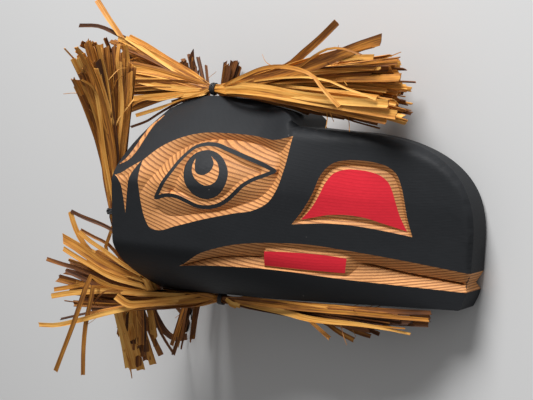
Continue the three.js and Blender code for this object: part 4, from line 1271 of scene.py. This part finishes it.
bottomBark = {
    "name": "bark_bottom", "tie": "tie_bottom", "node": "bark_bundle_bottom", "seed": 23, "depthAxis": 1,
    "backFan": {"side": -1, "tones": (0.44, 0.24), "ends": (0.7, 0.92), "strips": [
        ((-84, -46, -72), (12, 4, -10), 12, 10), ((-84, -40, -90), (12, 0, -9), 13, 11),
        ((-80, -30, -80), (12, 0, -11), 12, 11), ((-72, -48, -58), (8, 8, -13), 10, 8),
        ((-60, -49, -44), (-2, 14, -22), 9, 6), ((-79, -52, -113), (11, -22, 9), 6, 4),
        ((-76, -22, -100), (6, 0, -4), 9, 9)]},
    # the front half's low tones are painted shade, for the jaw's shadow over it
    "frontFan": {"side": 1, "tones": (0.08, 0.14), "ends": (0.86, 0.985), "strips": [
        ((214, -12, -70), (0, 0, -2), 8, 12), ((216, 4, -72), (0, 0, -3), 8, 13),
        ((206, 12, -75), (0, 0, -3), 7, 12), ((200, -16, -78), (0, 0, -2), 5, 6)]},
    "ribbons": [
        # ribbons close under the jaw, their dark tones partly painted shade from the jaw above, and the short
        # stub beside the cord
        (1, 4.2, 0.3, [(232, 299, -8), (262, 301, -12), (300, 304, -16), (345, 307, -18), (400, 311, -18),
         (431, 311.5, -16)]),
        (1, 4.6, 0.16, [(236, 300, -6), (280, 306, -8), (330, 310.5, -10), (380, 315, -10),
         (430, 317, -8)]),
        (1, 4.4, 0.24, [(236, 302, -4), (280, 309, -6), (330, 315, -8), (380, 321, -8), (428, 323.5, -6)]),
        (1, 2.4, 0.55, [(240, 302, -12), (300, 309, -18), (350, 313, -20), (405, 318, -20),
         (429, 320, -18)]),
        (0, 4.0, 0.92, [(226, 299, -8), (232, 303.5, -10), (240, 305.5, -11)], {"narrow": 2.5}),
        (0, 2.6, 0.8, [(227, 300, -6), (231, 305, -7), (236, 307, -8)], {"narrow": 2.0}),
        # ribbons that fan out behind the chin
        (-1, 3.6, 0.8, [(190, 295, -6), (150, 286, -14), (118, 270, -24), (95, 255, -34), (84, 244, -40),
         (75, 227, -44), (70.5, 212, -46)]),
        (0, 3.0, 0.16, [(71, 211, -46), (82, 216.5, -42), (104, 225.5, -36),
         (116, 232, -32)], {"thickness": 0.8, "narrow": 2.8}),
        (-1, 2.6, 0.42, [(170, 292, -6), (135, 272, -16), (118, 255, -22), (108, 244, -28),
         (95, 237.5, -32), (81, 230, -36)]),
        (-1, 2.4, 0.7, [(160, 290, -6), (125, 268, -20), (106, 251, -28), (108, 240, -30),
         (113, 226, -30)]),
        (-1, 7.0, 0.64, [(180, 291, -8), (142, 280, -20), (120, 272, -30), (100, 262.5, -38),
         (86, 253, -44), (76, 246, -48), (63, 238.5, -52)], {"slant": 2.0}),
        (-1, 3.2, 0.78, [(175, 288, -10), (150, 279, -20), (125, 265.5, -30), (105, 251, -38),
         (90, 241, -44), (79, 231.5, -48)]),
        (-1, 3.6, 0.74, [(175, 291, -12), (140, 285, -24), (112, 277, -34), (92, 266, -42), (75, 256, -48),
         (63.5, 248.5, -52)]),
        (-1, 3.2, 0.3, [(180, 294, -10), (140, 288, -22), (112, 281, -32), (95, 275, -38), (76, 268, -44),
         (62, 264, -48), (47, 259, -52)]),
        (-1, 3.2, 0.12, [(185, 295, -10), (150, 293.5, -22), (130, 292.5, -30), (105, 288, -38),
         (82, 278, -46), (67, 271, -50)]),
        (-1, 3.2, 0.66, [(185, 295, -8), (140, 293, -22), (105, 289, -34), (84, 284.5, -40), (70, 287, -43),
         (54, 289.5, -46)]),
        (-1, 3.8, 0.82, [(185, 296, -10), (145, 294, -26), (112, 291, -38), (90, 291.5, -46),
         (70, 293, -50), (51.5, 296, -54)]),
        (-1, 3.4, 0.9, [(200, 297, -8), (160, 300, -26), (127, 308.5, -40), (105, 313.5, -46),
         (80, 320, -50), (56, 325, -52), (39, 324.5, -53)]),
        (-1, 5.2, 0.68, [(205, 296, -6), (185, 299, -16), (160, 302, -28), (140, 304, -36), (128, 304, -42),
         (116, 296, -46)]),
        (-1, 3.4, 0.58, [(190, 297, -8), (140, 292, -26), (104, 284, -44), (91, 276, -54), (85, 290, -56),
         (74, 322, -55), (65, 346, -53), (55.5, 371, -50)]),
        (-1, 3.2, 0.5, [(190, 297, -6), (140, 294, -22), (106, 290, -38), (94, 285, -48), (91, 300, -50),
         (86, 322, -48), (83.5, 348, -46), (83, 375, -42)]),
        (0, 1.2, 0.4, [(120, 292, -36), (107, 291, -42), (100, 295, -44), (94, 303, -44)], {"narrow": 1.0}),
        (-1, 6.0, 0.22, [(212, 297, 0), (190, 292, 0), (168, 286, -2), (146, 276, -6)]),
        (-1, 5.0, 0.14, [(212, 297, 6), (190, 292, 8), (165, 286, 8)]),
        (-1, 6.0, 0.28, [(206, 295, -3), (190, 291, -4), (172, 287, -5), (150, 279, -8), (138, 270, -10)]),
        (-1, 4.6, 0.5, [(212, 297, -6), (188, 291, -10), (160, 282, -16), (136, 266, -24),
         (122, 252, -28)]),
        # ribbons along the jaw
        (1, 3.8, 0.84, [(256, 306, -8), (285, 312.5, -14), (305, 318, -18), (325, 321, -20),
         (355, 324, -20), (385, 328.5, -18), (410, 334, -16)], {"pointed": 0.6}),
        (1, 3.4, 0.68, [(240, 299, -6), (262, 297, -12), (300, 303, -16), (345, 308.5, -18),
         (392, 313.5, -18)]),
        (1, 2.8, 0.64, [(250, 304, -6), (285, 311, -10), (307, 318.5, -12), (318, 328, -12),
         (330, 338.5, -12)]),
        (1, 3.4, 0.44, [(260, 306, -2), (300, 314, -4), (325, 322, -6), (338, 331.5, -6), (354, 340, -6)]),
        (1, 3.0, 0.34, [(260, 305, 2), (310, 316, 2), (343, 325, 0), (356, 331.5, 0), (371, 336.5, 0)]),
        (1, 3.0, 0.18, [(260, 305, 5), (320, 317, 6), (360, 326, 6), (379, 334, 6)]),
        (0, 1.0, 0.45, [(320, 319, -18), (360, 324, -18), (388, 327, -18),
         (405, 328.5, -18)], {"narrow": 1.0}),
    ],
}
rightBark = {
    "name": "bark_right", "tie": "tie_right", "node": "bark_bundle_right", "seed": 37, "depthAxis": 0,
    "upFan": {"side": 1, "tones": (0.5, 0.22), "strips": [
        ((-14, -88, 87), (0, 15, 10), 13, 12), ((-16, -76, 95), (0, 11, 6), 13, 12),
        ((-20, -62, 97), (-2, 4, 2), 13, 12), ((-16, -48, 94), (-2, 7, 2), 13, 12),
        ((-26, -58, 88), (-4, 4, 2), 12, 11), ((-10, -40, 84), (-3, 7, 0), 10, 9),
        ((-22, -80, 72), (-2, 12, 8), 9, 8)]},
    "upRibbons": [
        (1, 2.6, 0.8, [(104, 150, -8), (100, 118, -8), (95, 88, -9), (87, 66, -10), (76, 47, -10)]),
        (1, 3.0, 0.86, [(110, 150, -7), (110, 112, -7), (106, 80, -8), (101, 58, -8), (98, 45, -8)]),
        (1, 2.4, 0.78, [(118, 150, -5), (122, 112, -5), (121, 84, -6), (117, 62, -6), (119, 44, -6)]),
        (1, 1.6, 0.7, [(112, 150, -6), (103, 122, -7), (99, 100, -8), (92, 86, -9), (82, 80, -9)]),
        (1, 3.4, 0.44, [(107, 150, -10), (98, 122, -12), (93, 104, -13), (89, 92, -14), (80, 73, -14)]),
        (1, 0.9, 0.88, [(114, 135, -6), (118, 120, -6), (124, 112, -5), (130, 104, -4), (134, 99, -4)]),
    ],
    "downFan": {"side": -1, "tones": (0.46, 0.24), "strips": [
        ((-36, -6, -122), (-22, 46, 8), 9, 8), ((-38, 7, -136), (-22, 44, 8), 10, 8),
        ((-34, 16, -149), (-22, 44, 8), 9, 8), ((-38, 27, -143), (-22, 42, 8), 10, 8),
        ((-34, 35, -134), (-22, 40, 8), 8, 7)]},
    "ribbons": [
        (1, 3.8, 0.74, [(104, 160, -10), (101, 130, -12), (98, 106, -14), (94, 86, -15), (90, 68, -16),
         (84, 57, -16), (77, 50, -16)]),
        (1, 4.6, 0.34, [(108, 140, -12), (108, 100, -16), (102, 64, -18), (93, 50.5, -19),
         (81, 43.5, -20)]),
        (1, 1.2, 0.66, [(104, 140, -12), (96, 96, -16), (86, 73, -18), (75, 60, -18), (64.5, 48.5, -18)]),
        (1, 3.2, 0.76, [(110, 140, -12), (108, 86, -14), (104, 66, -15), (99, 52, -15), (94, 42.5, -15)]),
        (1, 3.0, 0.24, [(112, 140, -14), (115, 90, -17), (113, 62, -18), (109, 48, -18), (105, 38, -18)]),
        (1, 2.8, 0.58, [(112, 150, -12), (112, 112, -14), (116, 82, -15), (119, 60, -16),
         (116.5, 47, -16)]),
        (1, 4.6, 0.7, [(114, 150, -10), (118, 100, -11), (124, 80, -12), (127, 60, -12), (124, 45, -12)]),
        (1, 5.4, 0.52, [(114, 160, -8), (122, 120, -9), (128, 90, -9), (130, 66, -9)]),
        (1, 3.0, 0.16, [(106, 165, -14), (99, 130, -18), (92, 116, -20), (88, 106, -20)]),
        # the ends that hang behind the chin, their tones raised as painted light against the shadow they lie
        # in
        (0, 2.8, 0.98, [(112, 300, -32), (116, 315, -33), (121, 335, -34),
         (127, 368, -35)], {"narrow": 2.2}),
        (0, 5.6, 0.92, [(116, 297, -33), (120, 318, -34), (127, 345, -35), (133, 369, -36)], {"narrow": 4}),
        (0, 6.4, 0.84, [(122, 297, -35), (128, 320, -36), (135, 348, -37), (141, 370, -38)], {"narrow": 5}),
        (0, 6.0, 0.72, [(131, 297, -37), (138, 318, -38), (146, 342, -39), (153, 364, -39)], {"narrow": 5}),
        (0, 4.4, 0.44, [(138, 298, -38), (146, 320, -39), (154, 340, -39), (161, 355, -39)], {"narrow": 4}),
        (0, 6.2, 0.36, [(134, 298, -41), (138, 318, -42), (143, 340, -42), (147, 360, -42)], {"narrow": 5}),
        (0, 1.4, 0.66, [(124, 350, -34), (129, 362, -35),
         (132, 378, -36)], {"narrow": 1.2, "pointed": 0.5}),
        (0, 5.2, 0.26, [(150, 300, -38), (157, 318, -38), (165, 331, -37), (175, 338, -36),
         (187, 336.5, -35)], {"narrow": 4}),
        (0, 2.2, 0.34, [(152, 305, -36), (158, 326, -36), (165, 340, -35),
         (173, 352.5, -34)], {"narrow": 2}),
        (0, 3.0, 0.3, [(168, 297, -34), (175, 305, -34), (184, 316, -34),
         (195, 330, -34)], {"narrow": 2.6}),
        (0, 1.8, 0.2, [(172, 297, -30), (182, 303, -30), (190, 307, -30), (200, 311.5, -30),
         (208, 311, -30)], {"narrow": 1.6}),
        (0, 1.2, 0.2, [(192, 303, -30), (200, 309, -30), (197, 319, -30)], {"narrow": 1.2}),
    ],
}
# the far bundle, behind the crown: its dark tones are painted shade, for the shade it hangs in
leftBark = {
    "name": "bark_left", "tie": "tie_left", "node": "bark_bundle_left", "seed": 41, "depthAxis": 1,
    "upFan": {"side": 1, "tones": (0.26, 0.16), "strips": [
        ((-12, 27, 92), (-3, -2, 0), 8, 8), ((-14, 38, 97), (-3, 0, 0), 9, 8),
        ((-12, 44, 78), (-3, 2, 0), 11, 10), ((8, 56, 90), (-4, 3, -4), 9, 7),
        ((13, 60, 94), (-4, 3, -6), 6, 6), ((-18, 34, 86), (-5, 0, 0), 9, 9),
        ((-22, 56, 74), (-5, 0, 0), 10, 8)]},
    "downFan": {"side": -1, "tones": (0.34, 0.18), "strips": [
        ((-8, 24, -138), (0, 2, 0), 7, 6), ((-9, 34, -132), (0, 2, 0), 7, 6),
        ((-8, 45, -128), (0, 2, 0), 7, 6), ((-10, 54, -118), (0, 1, 0), 6, 5),
        ((-6, 58, -106), (0, 1, 0), 5, 4)]},
    "ribbons": [
        (1, 5.2, 0.26, [(200, 92, 44), (195, 74, 44), (190, 54, 45)]),
        (1, 3.0, 0.16, [(205, 92, 46), (202, 75, 46), (198, 57, 47)]),
        (1, 3.8, 0.34, [(197, 92, 40), (190, 76, 40), (183, 59, 40)]),
        (1, 2.2, 0.12, [(209, 92, 46), (207.5, 80, 47), (206, 65, 48)]),
        (1, 5.0, 0.2, [(203, 92, 38), (197, 78, 38), (192, 66, 38)]),
        (1, 4.0, 0.24, [(224, 90, 56), (231, 76, 57), (236, 61, 58)]),
        (1, 4.0, 0.18, [(222, 92, 54), (227, 78, 54), (229, 66, 54)]),
        (1, 3.4, 0.3, [(226, 92, 58), (235, 78, 60), (240, 67, 61)]),
    ],
}


def barkBundle(name, tie, node, seed, depthAxis, **steps):
    made = Bundle(name, tie, seed, depthAxis)
    for step in steps.values():
        if isinstance(step, dict):
            made.fan(**step)
            continue
        for side, width, tone, path, *more in step:
            made.drawn(side, width, tone, path, **(more[0] if more else {}))
    made.finished(node)


for values in (topBark, bottomBark, rightBark, leftBark):
    barkBundle(**values)


# Ties: a few turns of twisted black cord, a flat knot, and the end let into the wood

cord = {
    "radius": 0.70, "turns": 3.4, "wrapRadius": 3.86, "wrapWidth": 3.5,   # mm
    "strandLobe": 0.16, "twistLength": 3.4, "sides": 14,
    "end": (3.0, 9.5), "endRadius": 0.68,   # mm below the bundle's middle
    "knotRadius": 0.6, "knotSpan": 0.62, "crossings": ((0.5, 0.5), (-0.45, -0.4)),
}


def cordTube(path, radius):
    line, sides = np.array(path, float), cord["sides"]
    ahead = np.gradient(line, axis=0)
    ahead /= np.linalg.norm(ahead, axis=1)[:, None]
    side, sideways = np.cross(ahead[0], (0.3, 0.5, 0.8)), []
    for way in ahead:
        side = side - way * (side @ way)
        side /= np.linalg.norm(side)
        sideways.append(side)
    other = np.cross(ahead, sideways)
    run = np.concatenate([[0], np.cumsum(np.linalg.norm(np.diff(line, axis=0), axis=1))])
    places = []
    for i in range(len(line)):
        for k in range(sides):
            a = 2 * math.pi * k / sides
            strand = abs(math.sin(1.5 * (a + 2 * math.pi * run[i] / cord["twistLength"])))
            r = radius * (1 - cord["strandLobe"] * strand)
            places.append(line[i] + sideways[i] * r * math.cos(a) + other[i] * r * math.sin(a))
    ends = [tuple(range(sides))[::-1], tuple((len(line) - 1) * sides + k for k in range(sides))]
    return places, tubeFaces(0, len(line), sides) + ends


def cordTie(node):
    centre, along, peg = (np.array(v, float) for v in ties[node])
    first, second = -peg, np.cross(along, -peg)
    places, faces = [], []

    def add(path, radius):
        more, sides = cordTube(path, radius)
        faces.extend(tuple(len(places) + i for i in face) for face in sides)
        places.extend(more)

    def around(angle, offset, radius):
        return centre + along * offset + (first * math.cos(angle) + second * math.sin(angle)) * radius

    wrap, wide = cord["wrapRadius"], cord["wrapWidth"]
    add([around(2 * math.pi * t, -wide / 2 + wide * t / cord["turns"], wrap)
         for t in np.linspace(-0.15, cord["turns"], 150)], cord["radius"])
    # the end goes down beside the bundle into its hole
    add([centre + peg * d for d in np.linspace(*cord["end"], 14)], cord["endRadius"])
    # the knot lies over the turns
    for tilt, offset in cord["crossings"]:
        add([around(math.pi * 0.25 + a, offset + tilt * 2.2 * math.sin(a * 1.1),
                    wrap + 0.62 * math.cos(a * 1.25) ** 2)
             for a in np.linspace(-cord["knotSpan"], cord["knotSpan"], 20)], cord["knotRadius"])
    mesh = bpy.data.meshes.new("cord_" + node)
    mesh.from_pydata(lay(places).tolist(), [], faces)
    mesh.materials.append(cordMaterial)
    toScene("cord_" + node, mesh, node, 60)


def cordFinish():
    made, shader = material("waxedCord")
    fibre = noise(made, maskPlace(made), (5, 5, 5), 3.0, 0.7)
    tone = ramp(made, fibre, [(0.35, (0.006, 0.006, 0.007)), (0.75, (0.030, 0.031, 0.034))])
    join(made, (tone, shader.inputs["Base Color"]))
    shader.inputs["Roughness"].default_value = 0.5
    bumped(made, shader, fibre, 0.0003, 0.9)
    return made


cordMaterial = cordFinish()
for node in ties:
    cordTie(node)
print("ties wound")
